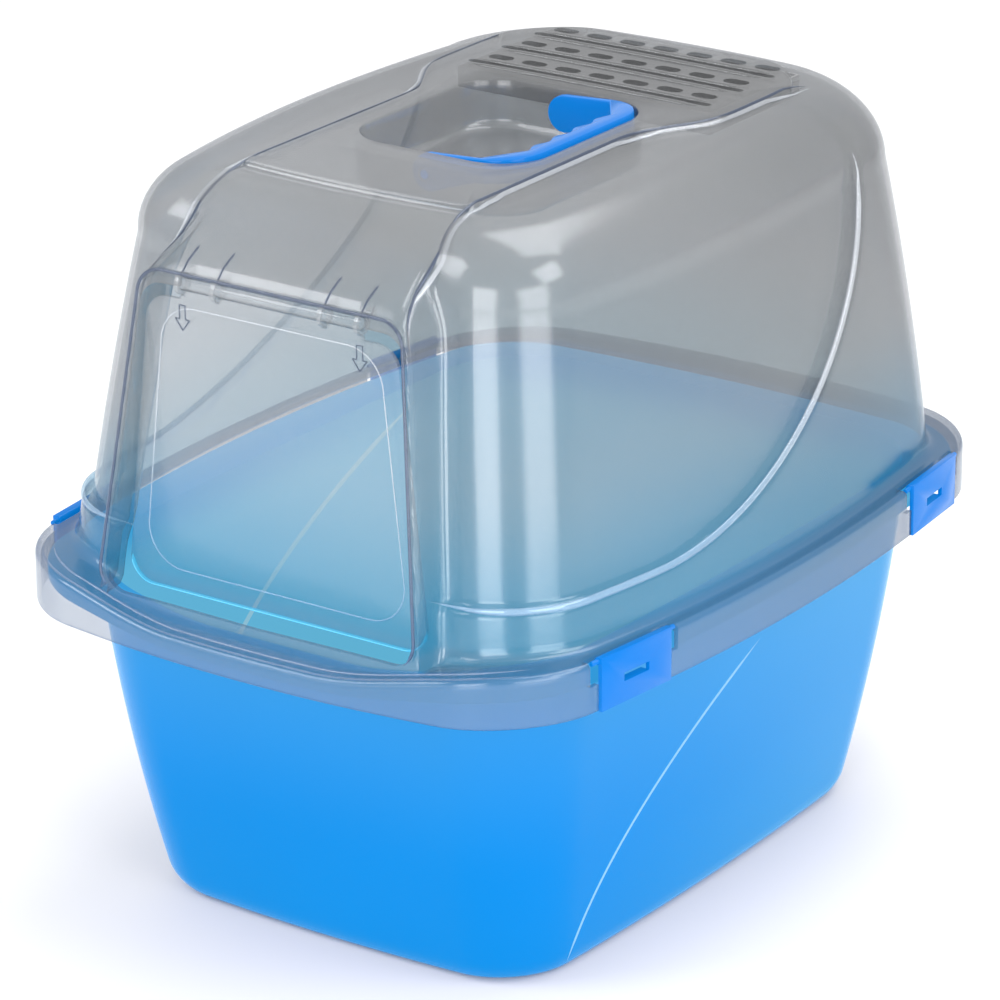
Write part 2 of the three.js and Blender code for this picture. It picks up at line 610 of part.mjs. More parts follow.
// ---------------------------------------------------------------- handle, about its own pivot line
function carryHandle() {
  const halfX = RECESS_HALF_WIDTH - HANDLE_GAP;
  const halfY = RECESS_HALF_LENGTH - HANDLE_GAP;
  const corner = RECESS_CORNER - HANDLE_GAP;
  const bail = (inset) =>
    outline({ halfX: halfX - inset, front: halfY - inset, back: halfY - inset, corner: corner - inset });
  const bottom = HANDLE_END - HANDLE_GRIP_DEPTH;
  const outerBand = cut(
    prism(bail(0), bottom, HANDLE_END),
    prism(bail(HANDLE_ARM), bottom - WALL, HANDLE_END + WALL),
  );
  const rightHalf = box([0, -halfY - WALL, -2 * HANDLE_END], [halfX + WALL, halfY + WALL, 2 * HANDLE_END]);
  const band = outerBand.intersect(rightHalf);

  const length = halfY - corner;
  const wavy = [];
  const steps = HANDLE_WAVES * 6;
  for (let i = 0; i <= steps; i += 1) {
    const y = length - (2 * length * i) / steps;
    const wave = HANDLE_WAVE * (1 - Math.cos((2 * Math.PI * HANDLE_WAVES * i) / steps));
    wavy.push([halfX - HANDLE_GRIP_WIDTH - wave, y]);
  }
  const outerEdge = bail(HANDLE_ARM / 2).filter(([x, y]) => x > halfX - corner - 1 || Math.abs(y) < length);
  const edge = outerEdge.filter(([x]) => x > 0).sort((a, b) => a[1] - b[1]);
  const flange = prism([...edge, ...wavy], HANDLE_END - WALL, HANDLE_END);

  const arms = [-1, 1].flatMap((side) => {
    const near = Math.min(side * halfY, side * (halfY - HANDLE_ARM));
    const far = near + HANDLE_ARM;
    const end = rod("y", near, far, [0, 0], HANDLE_END, 20);
    const reach = halfX - corner;
    const points = [
      [0, HANDLE_END],
      [reach, HANDLE_END],
      [reach, bottom],
      [0, -HANDLE_END],
    ];
    const web = hull(
      points.flatMap(([x, z]) => [new THREE.Vector3(x, near, z), new THREE.Vector3(x, far, z)]),
    );
    const pinReach = side * (halfY + HANDLE_GAP + WALL);
    const pin = rod("y", Math.min(side * (halfY - 1), pinReach), Math.max(side * (halfY - 1), pinReach), [0, 0], HANDLE_PIN);
    return [end, web, pin];
  });
  return join(band, flange, ...arms);
}

// ---------------------------------------------------------------- latches, in a frame at the skirt's face
/** The place of a latch: x outwards from the skirt's face, y along it, z from the floor. */
function latchPlace(side, end) {
  const halfX = SKIRT_HALF_WIDTH;
  const share = LATCH_PLACE / SKIRT_HALF_LENGTH;
  const place = new THREE.Vector3(side * (halfX - SIDE_BOW * share ** 2), end * LATCH_PLACE, 0);
  const lean = Math.atan((2 * SIDE_BOW * share) / SKIRT_HALF_LENGTH);
  const turn = side > 0 ? end * lean : Math.PI - end * lean;
  return { place, turn };
}

function latchMatrix({ place, turn }) {
  return new THREE.Matrix4().makeRotationZ(turn).setPosition(place);
}

const LATCH_PIVOT_Z = LEDGE_TOP - LATCH_PIVOT_DROP;

function latch() {
  const half = LATCH_WIDTH / 2;
  const top = LATCH_PIVOT_Z + LATCH_BARREL;
  const plate = box([-LATCH_PLATE, -half, SKIRT_BOTTOM], [0, half, top]);
  const cap = box([-LATCH_PIVOT_IN, -half, LATCH_PIVOT_Z], [0, half, top]);
  const barrel = rod("y", -half, half, [-LATCH_PIVOT_IN, LATCH_PIVOT_Z], LATCH_BARREL, 12);
  const pinEnd = half + LATCH_PIN_LENGTH;
  const pins = rod("y", -pinEnd, pinEnd, [-LATCH_PIVOT_IN, LATCH_PIVOT_Z], LATCH_PIN, 12);
  const barbTop = RIM_TOP - LIP_HEIGHT - 2 * GAP;
  const barb = box(
    [-RIM_INSET + GAP, -LATCH_WINDOW_WIDTH / 2, barbTop - LATCH_BARB_HEIGHT],
    [-LATCH_PLATE / 2, LATCH_WINDOW_WIDTH / 2, barbTop],
  );
  const windowLow = SKIRT_BOTTOM + LATCH_WINDOW_BOTTOM;
  const window = box(
    [-LATCH_PLATE - WALL, -LATCH_WINDOW_WIDTH / 2, Math.max(windowLow, barbTop)],
    [WALL, LATCH_WINDOW_WIDTH / 2, windowLow + LATCH_WINDOW_HEIGHT],
  );
  return join(cut(join(plate, cap), window), barrel, pins, barb);
}

/** What a latch needs in the hood: a notch, two bosses under the ledge and the grooves for its pins. */
function latchSeat(where) {
  const matrix = latchMatrix(where);
  const half = LATCH_WIDTH / 2 + GAP;
  const inner = -LATCH_PIVOT_IN - LATCH_BARREL - 0.5;
  const notch = box([inner, -half, SKIRT_BOTTOM - 5], [5, half, LEDGE_TOP + 8], matrix);
  const bosses = [-1, 1].map((end) => {
    const from = end > 0 ? half : -half - LATCH_BOSS;
    return box([-8, from, RIM_TOP + GAP], [-1.2, from + LATCH_BOSS, LEDGE_TOP - WALL / 2], matrix);
  });
  const grooveEnd = half + LATCH_PIN_LENGTH + GAP;
  const pivot = [-LATCH_PIVOT_IN, LATCH_PIVOT_Z];
  const groove = rod("y", -grooveEnd, grooveEnd, pivot, LATCH_PIN + GAP, 12, matrix);
  return { notch, bosses, groove };
}

const LATCH_PLACES = {
  latch_front_right: latchPlace(1, -1),
  latch_rear_right: latchPlace(1, 1),
  latch_front_left: latchPlace(-1, -1),
  latch_rear_left: latchPlace(-1, 1),
};

// ---------------------------------------------------------------- hood
/** Short ribs under the end ledges that rest on the pan's rim. */
function ledgeRibs() {
  const places = [[-110, 1], [0, 1], [110, 1], [-125, -1], [125, -1]];
  const half = RIB_THICKNESS / 2;
  return places.map(([x, end]) => {
    const edge = SKIRT_HALF_LENGTH - RIM_INSET - END_BOW * (x / SKIRT_HALF_WIDTH) ** 2;
    const near = end * (edge - 1);
    const far = end * (edge - 12);
    const sag = dipAt(Math.abs(x) + RIB_THICKNESS, near, RIM_TOP);
    const [y0, y1] = [Math.min(near, far), Math.max(near, far)];
    return box([x - half, y0, RIM_TOP + 2 * GAP - sag], [x + half, y1, LEDGE_TOP - WALL / 2 - sag]);
  });
}

function hoodShell() {
  const outerBase = [SKIRT_BOTTOM, SKIRT_BOTTOM + DIP_RAMP, LEDGE_TOP].map((z) => ring(skirtShape(0), z));
  const body = loft([...outerBase, ...hoodRings(LEDGE_TOP, 0, -SWOOP_STEP / 2)]);
  const stepped = loft(hoodRings(LEDGE_TOP - WALL / 2, 0, SWOOP_STEP / 2)).intersect(swoopRegion(0));
  const outer = join(body, stepped);
  const under = LEDGE_TOP - WALL;
  const innerLevels = [SKIRT_BOTTOM - 8, SKIRT_BOTTOM, SKIRT_BOTTOM + DIP_RAMP, under];
  const innerBase = innerLevels.map((z) => ring(skirtShape(WALL), z));
  const hollow = loft([...innerBase, ...hoodRings(under, WALL, -SWOOP_STEP / 2)]);
  const stepHollow = loft(hoodRings(under - WALL, WALL, SWOOP_STEP / 2)).intersect(swoopRegion(WALL));
  const inner = join(hollow, stepHollow);

  const blockFoot = LEDGE_TOP - DIP_DEPTH - WALL;
  const tubFloor = PANEL_TOP - RECESS_DEPTH;
  const tub = prism(recessOutline(WALL), tubFloor - WALL, PANEL_TOP - WALL / 2);
  const recess = prism(recessOutline(0), tubFloor, PANEL_TOP + WALL);
  const pinHole = RECESS_HALF_LENGTH + WALL + 1;
  const pinHoles = rod(
    "y",
    RECESS_CENTRE_Y - pinHole,
    RECESS_CENTRE_Y + pinHole,
    [0, PIVOT_Z],
    HANDLE_PIN + GAP,
  );
  const barrelRoom = box(
    [-BARREL_END - 1, portalY(BARREL_Z) - 6, BARREL_Z - SWING_CLEAR - 8],
    [BARREL_END + 1, BARREL_Y + FLAP_BARREL, BARREL_Z + FLAP_BARREL + 0.4],
  );
  const barrelHole = rod("x", -BARREL_END - 1, BARREL_END + 1, [BARREL_Y, BARREL_Z], FLAP_BARREL + BARREL_GAP);
  const seats = Object.values(LATCH_PLACES).map(latchSeat);

  const panelSpace = box(
    [-TRAY_HALF_X - GAP, TRAY_FRONT - GAP, ROOF - 3 * WALL],
    [TRAY_HALF_X + GAP, TRAY_REAR + GAP, PANEL_TOP - WALL],
  );
  let shell = join(outer, portalBlock(0, blockFoot, 0), roofPanel());
  shell = cut(shell, inner, portalBlock(WALL, SKIRT_BOTTOM, WALL), doorwayCut(), barrelRoom);
  shell = join(shell, tub, ...seats.flatMap(({ bosses }) => bosses), ...ledgeRibs());
  shell = cut(shell, recess, pinHoles, panelSpace);
  shell = join(shell, ...flapFins(), ...trayRibs());
  const grooves = seats.flatMap(({ notch, groove }) => [notch, groove]);
  return cut(shell, barrelHole, ...ventCuts(), ...grooves);
}

// ---------------------------------------------------------------- materials and assembly
const plastic = (color, options = {}) =>
  new THREE.MeshStandardMaterial({ color, roughness: 0.25, metalness: 0, ...options });
const smoky = () => plastic("#8f9499", { transparent: true, opacity: 0.55 });

const litterBox = new THREE.Group();
litterBox.name = "litter_box";

function place(name, solid, material, parent = litterBox) {
  const mesh = new THREE.Mesh(geometryOf(solid), material);
  mesh.name = name;
  parent.add(mesh);
  return mesh;
}

place("litter_pan", litterPan(), plastic("#1c8fee"));
place("hood_shell", hoodShell(), smoky());
place("door_flap", doorFlap(), plastic("#b9c0c6", { transparent: true, opacity: 0.4 }));
place("filter_tray", filterTray(), plastic("#4a4d51", { roughness: 0.5 }));
place("air_filter", airFilter(), plastic("#26282b", { roughness: 0.95 }));

const handle = place("carry_handle", carryHandle(), plastic("#1577e0"));
handle.position.set(0, RECESS_CENTRE_Y, PIVOT_Z);
handle.rotation.y = -THREE.MathUtils.degToRad(HANDLE_REST_TILT);

for (const [name, where] of Object.entries(LATCH_PLACES)) {
  const mount = new THREE.Group();
  mount.position.copy(where.place);
  mount.rotation.z = where.turn;
  litterBox.add(mount);
  place(name, latch(), plastic("#1577e0"), mount);
}

export default litterBox;
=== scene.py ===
"""A hooded cat litter box: a deep blue pan, a smoky see-through hood with a clear swinging flap, a carry
handle folded into the roof, four side latches, and a filter tray under the vent. Metres, +Z up, doorway
at -Y."""

import logging
import math
from dataclasses import dataclass, field
from enum import Enum

import bmesh
import bpy
import numpy as np
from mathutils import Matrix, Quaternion, Vector
from mathutils.bvhtree import BVHTree

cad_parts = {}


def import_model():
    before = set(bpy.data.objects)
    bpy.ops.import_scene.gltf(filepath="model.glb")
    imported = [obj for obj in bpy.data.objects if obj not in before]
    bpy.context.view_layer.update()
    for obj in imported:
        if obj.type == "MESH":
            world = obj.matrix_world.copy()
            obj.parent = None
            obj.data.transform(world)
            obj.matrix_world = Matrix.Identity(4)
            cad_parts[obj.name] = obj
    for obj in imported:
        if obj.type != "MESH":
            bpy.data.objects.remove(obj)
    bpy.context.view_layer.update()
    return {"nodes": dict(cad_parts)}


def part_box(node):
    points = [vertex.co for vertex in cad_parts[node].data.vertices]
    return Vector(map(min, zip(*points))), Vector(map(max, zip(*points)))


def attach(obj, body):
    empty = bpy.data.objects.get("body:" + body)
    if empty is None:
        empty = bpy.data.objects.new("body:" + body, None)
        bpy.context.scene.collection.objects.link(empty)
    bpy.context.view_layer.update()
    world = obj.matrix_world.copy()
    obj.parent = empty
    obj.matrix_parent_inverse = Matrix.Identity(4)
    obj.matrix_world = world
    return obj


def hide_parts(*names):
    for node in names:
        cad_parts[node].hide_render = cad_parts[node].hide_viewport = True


log = logging.getLogger("litter_box")

WALL = 0.0025
SKIRT_BOTTOM = 0.178
LEDGE_TOP = 0.206
RIM_TOP = 0.200
ROOF = 0.416
PANEL_TOP = 0.419
SKIRT_HALF_WIDTH = 0.190
SKIRT_HALF_LENGTH = 0.2494
SKIRT_CORNER = 0.054
SKIRT_SIDE_BOW = 0.022
SKIRT_END_BOW = 0.017
HANDLE_PIVOT_Z = 0.4065
LATCH_PLACE = 0.150
VENT_FRONT = 0.076
VENT_PITCH = 0.0323
VENT_ROWS = 3
UP = np.array([0.0, 0.0, 1.0])
FORWARD = np.array([0.0, -1.0, 0.0])
BOX_FACES = [[0, 1, 3, 2], [4, 6, 7, 5], [0, 4, 5, 1], [2, 3, 7, 6], [0, 2, 6, 4], [1, 5, 7, 3]]


class Seat(Enum):
    """Which way a latch stands: the side of the box and its end."""

    FRONT_RIGHT = (1, -1)
    REAR_RIGHT = (1, 1)
    FRONT_LEFT = (-1, -1)
    REAR_LEFT = (-1, 1)


# ------------------------------------------------------------------ curves and grids
def smooth_step(value: np.ndarray) -> np.ndarray:
    """3t^2 - 2t^3 of a value held between 0 and 1."""
    t = np.clip(value, 0.0, 1.0)
    return t * t * (3.0 - 2.0 * t)


def soft_max(a: np.ndarray, b: np.ndarray, width: float) -> np.ndarray:
    """The larger of two arrays, with their crossing rounded: (a + b + sqrt((a - b)^2 + width^2)) / 2.

    Args:
        a: first array.
        b: second array.
        width: how wide the rounding is, in metres.

    Returns:
        The rounded maximum.
    """
    return 0.5 * (a + b + np.sqrt((a - b) ** 2 + width**2))


@dataclass(frozen=True)
class Outline:
    """A plan outline: a rounded rectangle whose sides bow outwards; front reaches along -Y, back along +Y."""

    half_x: float
    front: float
    back: float
    corner: float
    rear_corner: float
    bow_x: float = 0.0
    bow_y: float = 0.0
    centre_y: float = 0.0

    def quarter(self, half_y: float, corner: float) -> np.ndarray:
        """One bowed quarter: x loses bow_x (y / half_y)^2 (x / half_x), and y likewise.

        Args:
            half_y: reach of this quarter along Y.
            corner: its corner radius.

        Returns:
            Points from the middle of the +X side to the middle of the +Y side.
        """
        t = np.linspace(0.0, 1.0, 40)
        angle = np.linspace(0.0, math.pi / 2, 40)
        side = np.column_stack([np.full(40, self.half_x), t * (half_y - corner)])
        arc_x = self.half_x - corner + corner * np.cos(angle)
        arc_y = half_y - corner + corner * np.sin(angle)
        end = np.column_stack([(1 - t) * (self.half_x - corner), np.full(40, half_y)])
        points = np.vstack([side[:-1], np.column_stack([arc_x, arc_y]), end[1:]])
        x, y = points[:, 0].copy(), points[:, 1].copy()
        points[:, 0] = x - self.bow_x * (y / half_y) ** 2 * (x / self.half_x)
        points[:, 1] = y - self.bow_y * (x / self.half_x) ** 2 * (y / half_y)
        return points

    def points(self) -> np.ndarray:
        """All four quarters as one loop, in order round the outline."""
        rear = self.quarter(self.back, self.rear_corner)
        fore = self.quarter(self.front, self.corner)
        loop = np.vstack([rear, rear[::-1] * [-1, 1], fore * [-1, -1], fore[::-1] * [1, -1]])
        return loop + [0.0, self.centre_y]


def polar_radius(loop: np.ndarray, centre_y: float, angles: np.ndarray) -> np.ndarray:
    """How far a loop is from (0, centre_y) in each direction, by linear steps between its points.

    Args:
        loop: points of the loop, N by 2.
        centre_y: where the rays start along Y.
        angles: directions of the rays.

    Returns:
        One radius for each angle.
    """
    x, y = loop[:, 0], loop[:, 1] - centre_y
    direction = np.mod(np.arctan2(y, x), 2 * math.pi)
    order = np.argsort(direction)
    return np.interp(np.mod(angles, 2 * math.pi), direction[order], np.hypot(x, y)[order], period=2 * math.pi)


def dense_polygon(corners: list[tuple[float, float]], steps: int = 60) -> np.ndarray:
    """A closed polygon with each side cut into steps.

    Args:
        corners: its corners in order.
        steps: pieces of each side.

    Returns:
        Points round the polygon.
    """
    start = np.array(corners, float)
    end = np.roll(start, -1, axis=0)
    t = np.linspace(0.0, 1.0, steps, endpoint=False)[None, :, None]
    return (start[:, None] * (1 - t) + end[:, None] * t).reshape(-1, 2)


def mesh_object(name: str, vertices: np.ndarray, faces: list | np.ndarray) -> bpy.types.Object:
    """A linked mesh object at the origin.

    Args:
        name: the piece's name.
        vertices: N by 3 places.
        faces: vertex numbers of each face.

    Returns:
        The object.
    """
    mesh = bpy.data.meshes.new(name)
    rows = faces.tolist() if isinstance(faces, np.ndarray) else faces
    mesh.from_pydata(np.asarray(vertices, float).tolist(), [], rows)
    mesh.update()
    piece = bpy.data.objects.new(name, mesh)
    bpy.context.scene.collection.objects.link(piece)
    return piece


def closed_grid(name: str, rings: np.ndarray) -> bpy.types.Object:
    """A closed solid through a stack of rings, with a pole in the middle of the first and the last.

    Args:
        name: the piece's name.
        rings: rows by columns by 3; each row runs anticlockwise seen from above, from the underside up.

    Returns:
        The object.
    """
    rows, columns = rings.shape[:2]
    poles = np.array([rings[0].mean(0), rings[-1].mean(0)])
    vertices = np.vstack([rings.reshape(-1, 3), poles])
    i = np.arange(columns)
    nxt = (i + 1) % columns
    level = (np.arange(rows - 1) * columns)[:, None]
    quads = np.stack([level + i, level + nxt, level + nxt + columns, level + i + columns], -1).reshape(-1, 4)
    foot = np.column_stack([np.full(columns, rows * columns), nxt, i])
    last = (rows - 1) * columns
    head = np.column_stack([np.full(columns, rows * columns + 1), last + i, last + nxt])
    return mesh_object(name, vertices, quads.tolist() + foot.tolist() + head.tolist())


def ring_grid(name: str, rings: np.ndarray) -> bpy.types.Object:
    """A closed solid whose rings follow one another round a loop, the last joined to the first."""
    rows, columns = rings.shape[:2]
    i = np.arange(columns)
    nxt = (i + 1) % columns
    a = (np.arange(rows) * columns)[:, None]
    b = np.roll(a, -1, axis=0)
    quads = np.stack([a + i, a + nxt, b + nxt, b + i], -1).reshape(-1, 4)
    return mesh_object(name, rings.reshape(-1, 3), quads)


def prism(name: str, loop: np.ndarray, axis: int, low: float, high: float) -> bpy.types.Object:
    """A straight prism of a convex loop along one axis.

    Args:
        name: the piece's name.
        loop: N by 2 points in the other two axes, in their order.
        axis: 0, 1 or 2, the axis along which it runs.
        low: where it starts.
        high: where it ends.

    Returns:
        The object, with its faces outwards.
    """
    count = len(loop)
    vertices = np.zeros((2 * count, 3))
    others = [k for k in range(3) if k != axis]
    vertices[:count, others] = loop
    vertices[count:, others] = loop
    vertices[:count, axis] = low
    vertices[count:, axis] = high
    i = np.arange(count)
    nxt = (i + 1) % count
    sides = np.column_stack([i, nxt, nxt + count, i + count]).tolist()
    piece = mesh_object(name, vertices, sides + [list(range(count))[::-1], list(range(count, 2 * count))])
    outward(piece)
    return piece


def outward(piece: bpy.types.Object) -> None:
    """Turns every face of a closed mesh outwards."""
    work = bmesh.new()
    work.from_mesh(piece.data)
    bmesh.ops.recalc_face_normals(work, faces=work.faces)
    work.to_mesh(piece.data)
    work.free()


def join_pieces(name: str, pieces: list[bpy.types.Object]) -> bpy.types.Object:
    """One object that holds the meshes of several, which are removed.

    Args:
        name: its name.
        pieces: what it is made from.

    Returns:
        The joined object.
    """
    work = bmesh.new()
    for piece in pieces:
        work.from_mesh(piece.data)
        drop(piece)
    mesh = bpy.data.meshes.new(name)
    work.to_mesh(mesh)
    work.free()
    joined = bpy.data.objects.new(name, mesh)
    bpy.context.scene.collection.objects.link(joined)
    return joined


def drop(piece: bpy.types.Object) -> None:
    """Takes a working object and its mesh out of the file."""
    mesh = piece.data
    bpy.data.objects.remove(piece)
    bpy.data.meshes.remove(mesh)


def apply_modifiers(piece: bpy.types.Object) -> None:
    """Puts the result of a piece's modifiers into its mesh."""
    graph = bpy.context.evaluated_depsgraph_get()
    mesh = bpy.data.meshes.new_from_object(piece.evaluated_get(graph))
    old = piece.data
    piece.modifiers.clear()
    piece.data = mesh
    mesh.name = piece.name
    bpy.data.meshes.remove(old)


def cut(body: bpy.types.Object, tool: bpy.types.Object) -> None:
    """Cuts a closed tool from a body and removes the tool."""
    step = body.modifiers.new("cut", "BOOLEAN")
    step.operation = "DIFFERENCE"
    step.solver = "MANIFOLD"
    step.object = tool
    bpy.context.view_layer.update()
    apply_modifiers(body)
    drop(tool)


def smooth_by_angle(piece: bpy.types.Object, degrees: float) -> None:
    """Shades a mesh smooth except across edges that bend more than an angle."""
    mesh = piece.data
    mesh.polygons.foreach_set("use_smooth", np.ones(len(mesh.polygons), bool))
    work = bmesh.new()
    work.from_mesh(mesh)
    limit = math.radians(degrees)
    for edge in work.edges:
        edge.smooth = len(edge.link_faces) == 2 and edge.calc_face_angle(0.0) < limit
    work.to_mesh(mesh)
    work.free()


def bevel(piece: bpy.types.Object, width: float, segments: int = 2, degrees: float = 35.0) -> None:
    """Rounds the sharp edges of a piece and applies the result."""
    step = piece.modifiers.new("round", "BEVEL")
    step.width = width
    step.segments = segments
    step.limit_method = "ANGLE"
    step.angle_limit = math.radians(degrees)
    bpy.context.view_layer.update()
    apply_modifiers(piece)


def merged_copy(node: bpy.types.Object, name: str) -> bpy.types.Object:
    """A copy of a CAD node's mesh with its loose triangles merged into one skin.

    Args:
        node: the CAD node's object.
        name: the new piece's name.

    Returns:
        The new piece, with flat facets joined into whole faces.
    """
    mesh = node.data.copy()
    mesh.name = name
    mesh.materials.clear()
    work = bmesh.new()
    work.from_mesh(mesh)
    bmesh.ops.remove_doubles(work, verts=work.verts, dist=2e-6)
    bmesh.ops.dissolve_limit(work, angle_limit=math.radians(1.0), verts=work.verts, edges=work.edges)
    work.to_mesh(mesh)
    work.free()
    piece = bpy.data.objects.new(name, mesh)
    bpy.context.scene.collection.objects.link(piece)
    return piece


def hull_planes(points: np.ndarray) -> tuple[np.ndarray, np.ndarray]:
    """The planes of the convex solid round some points.

    Args:
        points: N by 3 places.

    Returns:
        Outward normals and how far along them each plane stands.
    """
    work = bmesh.new()
    verts = [work.verts.new(p) for p in points]
    bmesh.ops.convex_hull(work, input=verts)
    work.normal_update()
    middle = points.mean(0)
    normals, reaches = [], []
    for face in work.faces:
        normal = np.array(face.normal)
        reach = float(normal @ np.array(face.verts[0].co))
        if normal @ middle > reach:
            normal, reach = -normal, -reach
        normals.append(normal)
        reaches.append(reach)
    work.free()
    rows = np.round(np.column_stack([normals, reaches]), 5)
    unique = np.unique(rows, axis=0)
    return unique[:, :3], unique[:, 3]


def unit(rows: np.ndarray) -> np.ndarray:
    """Rows scaled to length 1."""
    return rows / np.linalg.norm(rows, axis=1, keepdims=True)


def stepped(points: np.ndarray, steps: int) -> np.ndarray:
    """An open line with each of its parts cut into steps."""
    return np.vstack([np.linspace(a, b, steps, endpoint=False) for a, b in zip(points[:-1], points[1:])])


def even_out(rows: np.ndarray, width: int) -> np.ndarray:
    """Rows replaced by the mean over a number of neighbours, which rounds the corners of a path."""
    reach = width // 2
    padded = np.vstack([rows[:1].repeat(reach, 0), rows, rows[-1:].repeat(reach, 0)])
    kernel = np.ones(width) / width
    return np.column_stack([np.convolve(column, kernel, mode="valid") for column in padded.T])


def bead(name: str, path: np.ndarray, out: np.ndarray, wide: float, high: float, closed: bool = False,
         sides: int = 10) -> bpy.types.Object:
    """A raised line: an ellipse carried along a path, wide across the surface and high out of it.

    Args:
        name: the piece's name.
        path: N by 3 places along the line.
        out: the surface's outward direction at each place, or one for all.
        wide: half width across the line.
        high: half height out of the surface.
        closed: whether the path is a loop.
        sides: faces round the section.

    Returns:
        The piece, closed at both ends where the path is open.
    """
    if closed:
        along = unit(np.roll(path, -1, axis=0) - np.roll(path, 1, axis=0))
        taper = np.ones(len(path))
    else:
        along = unit(np.gradient(path, axis=0))
        share = np.linspace(0.0, 1.0, len(path))
        taper = np.minimum(1.0, 12 * np.minimum(share, 1 - share) + 0.05)
    out = np.broadcast_to(out, path.shape)
    across = unit(np.cross(along, out))
    normal = np.cross(across, along)
    angle = np.linspace(0.0, 2 * math.pi, sides, endpoint=False)
    sideways = (wide * taper)[:, None] * np.cos(angle)
    upwards = (high * taper)[:, None] * np.sin(angle)
    rings = path[:, None] + across[:, None] * sideways[..., None] + normal[:, None] * upwards[..., None]
    piece = ring_grid(name, rings) if closed else closed_grid(name, rings)
    outward(piece)
    smooth_by_angle(piece, 60.0)
    return piece


# ------------------------------------------------------------------ finishes
@dataclass(frozen=True)
class NodeGroupSocket:
    """One socket of a shader group."""

    name: str
    kind: str
    value: float | tuple | None = None


def make_group(name: str, inputs: list[NodeGroupSocket], outputs: list[NodeGroupSocket]):
    """An empty shader group with its sockets.

    Args:
        name: the group's name.
        inputs: its inputs.
        outputs: its outputs.

    Returns:
        The group, its input node and its output node.
    """
    group = bpy.data.node_groups.new(name, "ShaderNodeTree")
    for socket in inputs:
        made = group.interface.new_socket(socket.name, in_out="INPUT", socket_type=socket.kind)
        if socket.value is not None:
            made.default_value = socket.value
    for socket in outputs:
        group.interface.new_socket(socket.name, in_out="OUTPUT", socket_type=socket.kind)
    return group, group.nodes.new("NodeGroupInput"), group.nodes.new("NodeGroupOutput")


def add(tree: bpy.types.NodeTree, kind: str, inputs: dict, **settings) -> bpy.types.Node:
    """A new shader node.

    Args:
        tree: the node tree it goes into.
        kind: its type, without the leading ShaderNode.
        inputs: what each of its sockets takes, by name or number: a value, or another node's output.
        settings: its own properties.

    Returns:
        The node.
    """
    node = tree.nodes.new("ShaderNode" + kind)
    for key, value in settings.items():
        setattr(node, key, value)
    for key, value in inputs.items():
        if isinstance(value, bpy.types.NodeSocket):
            tree.links.new(value, node.inputs[key])
        else:
            node.inputs[key].default_value = value
    return node


def reckon(tree: bpy.types.NodeTree, operation: str, *values) -> bpy.types.NodeSocket:
    """The result of a Math node on numbers or sockets."""
    return add(tree, "Math", dict(enumerate(values)), operation=operation).outputs["Value"]


def blend(tree: bpy.types.NodeTree, factor: bpy.types.NodeSocket, a, b) -> bpy.types.NodeSocket:
    """A colour mix: a where factor is 0 and b where it is 1, each a socket or three numbers."""
    mix = add(tree, "Mix", {"Factor": factor}, data_type="RGBA")
    for key, color in (("A", a), ("B", b)):
        if isinstance(color, bpy.types.NodeSocket):
            tree.links.new(color, mix.inputs[key])
        else:
            mix.inputs[key].default_value = (*color, 1.0)
    return mix.outputs["Result"]


def ramp(tree: bpy.types.NodeTree, source: bpy.types.NodeSocket, low: float, high: float, start: float = 0.0,
         end: float = 1.0, kind: str = "SMOOTHSTEP") -> bpy.types.NodeSocket:
    """A ramp of a socket, held at both ends.

    Args:
        tree: the node tree.
        source: the socket it reads.
        low: the value where it starts.
        high: the value where it ends.
        start: what it gives below low.
        end: what it gives above high.
        kind: how it goes from one to the other.

    Returns:
        Its output socket.
    """
    values = {"Value": source, "From Min": low, "From Max": high, "To Min": start, "To Max": end}
    return add(tree, "MapRange", values, interpolation_type=kind).outputs["Result"]


def places(tree: bpy.types.NodeTree) -> bpy.types.Node:
    """The texture coordinates of a material that Finish.start has made."""
    return next(node for node in tree.nodes if node.type == "TEX_COORD")


class MouldedSkin:
    """The skin of an injection moulding: slow sink waves, faint flow marks and a fine polish grain."""

    NAME = "moulded_skin"

    @classmethod
    def group(cls) -> bpy.types.NodeTree:
        """The shader group, made once: Tone, Roughness and Height from Object coordinates."""
        found = bpy.data.node_groups.get(cls.NAME)
        if found:
            return found
        inputs = [
            NodeGroupSocket("Vector", "NodeSocketVector"),
            NodeGroupSocket("Wave Scale", "NodeSocketFloat", 9.0),
            NodeGroupSocket("Grain Scale", "NodeSocketFloat", 900.0),
            NodeGroupSocket("Polish", "NodeSocketFloat", 0.12),
            NodeGroupSocket("Haze", "NodeSocketFloat", 0.06),
            NodeGroupSocket("Grain", "NodeSocketFloat", 0.1),
        ]
        outputs = [
            NodeGroupSocket("Tone", "NodeSocketFloat"),
            NodeGroupSocket("Roughness", "NodeSocketFloat"),
            NodeGroupSocket("Height", "NodeSocketFloat"),
        ]
        group, source, sink = make_group(cls.NAME, inputs, outputs)
        given = source.outputs
        at = given["Vector"]
        wave = add(group, "TexNoise", {"Detail": 2.0, "Vector": at, "Scale": given["Wave Scale"]})
        tone = wave.outputs["Fac"]
        grain = add(group, "TexNoise", {"Detail": 3.0, "Vector": at, "Scale": given["Grain Scale"]})
        polish = reckon(group, "MULTIPLY_ADD", tone, given["Haze"], given["Polish"])
        height = reckon(group, "ADD", tone, reckon(group, "MULTIPLY", grain.outputs["Fac"], given["Grain"]))
        for name, value in (("Tone", tone), ("Roughness", polish), ("Height", height)):
            group.links.new(value, sink.inputs[name])
        return group


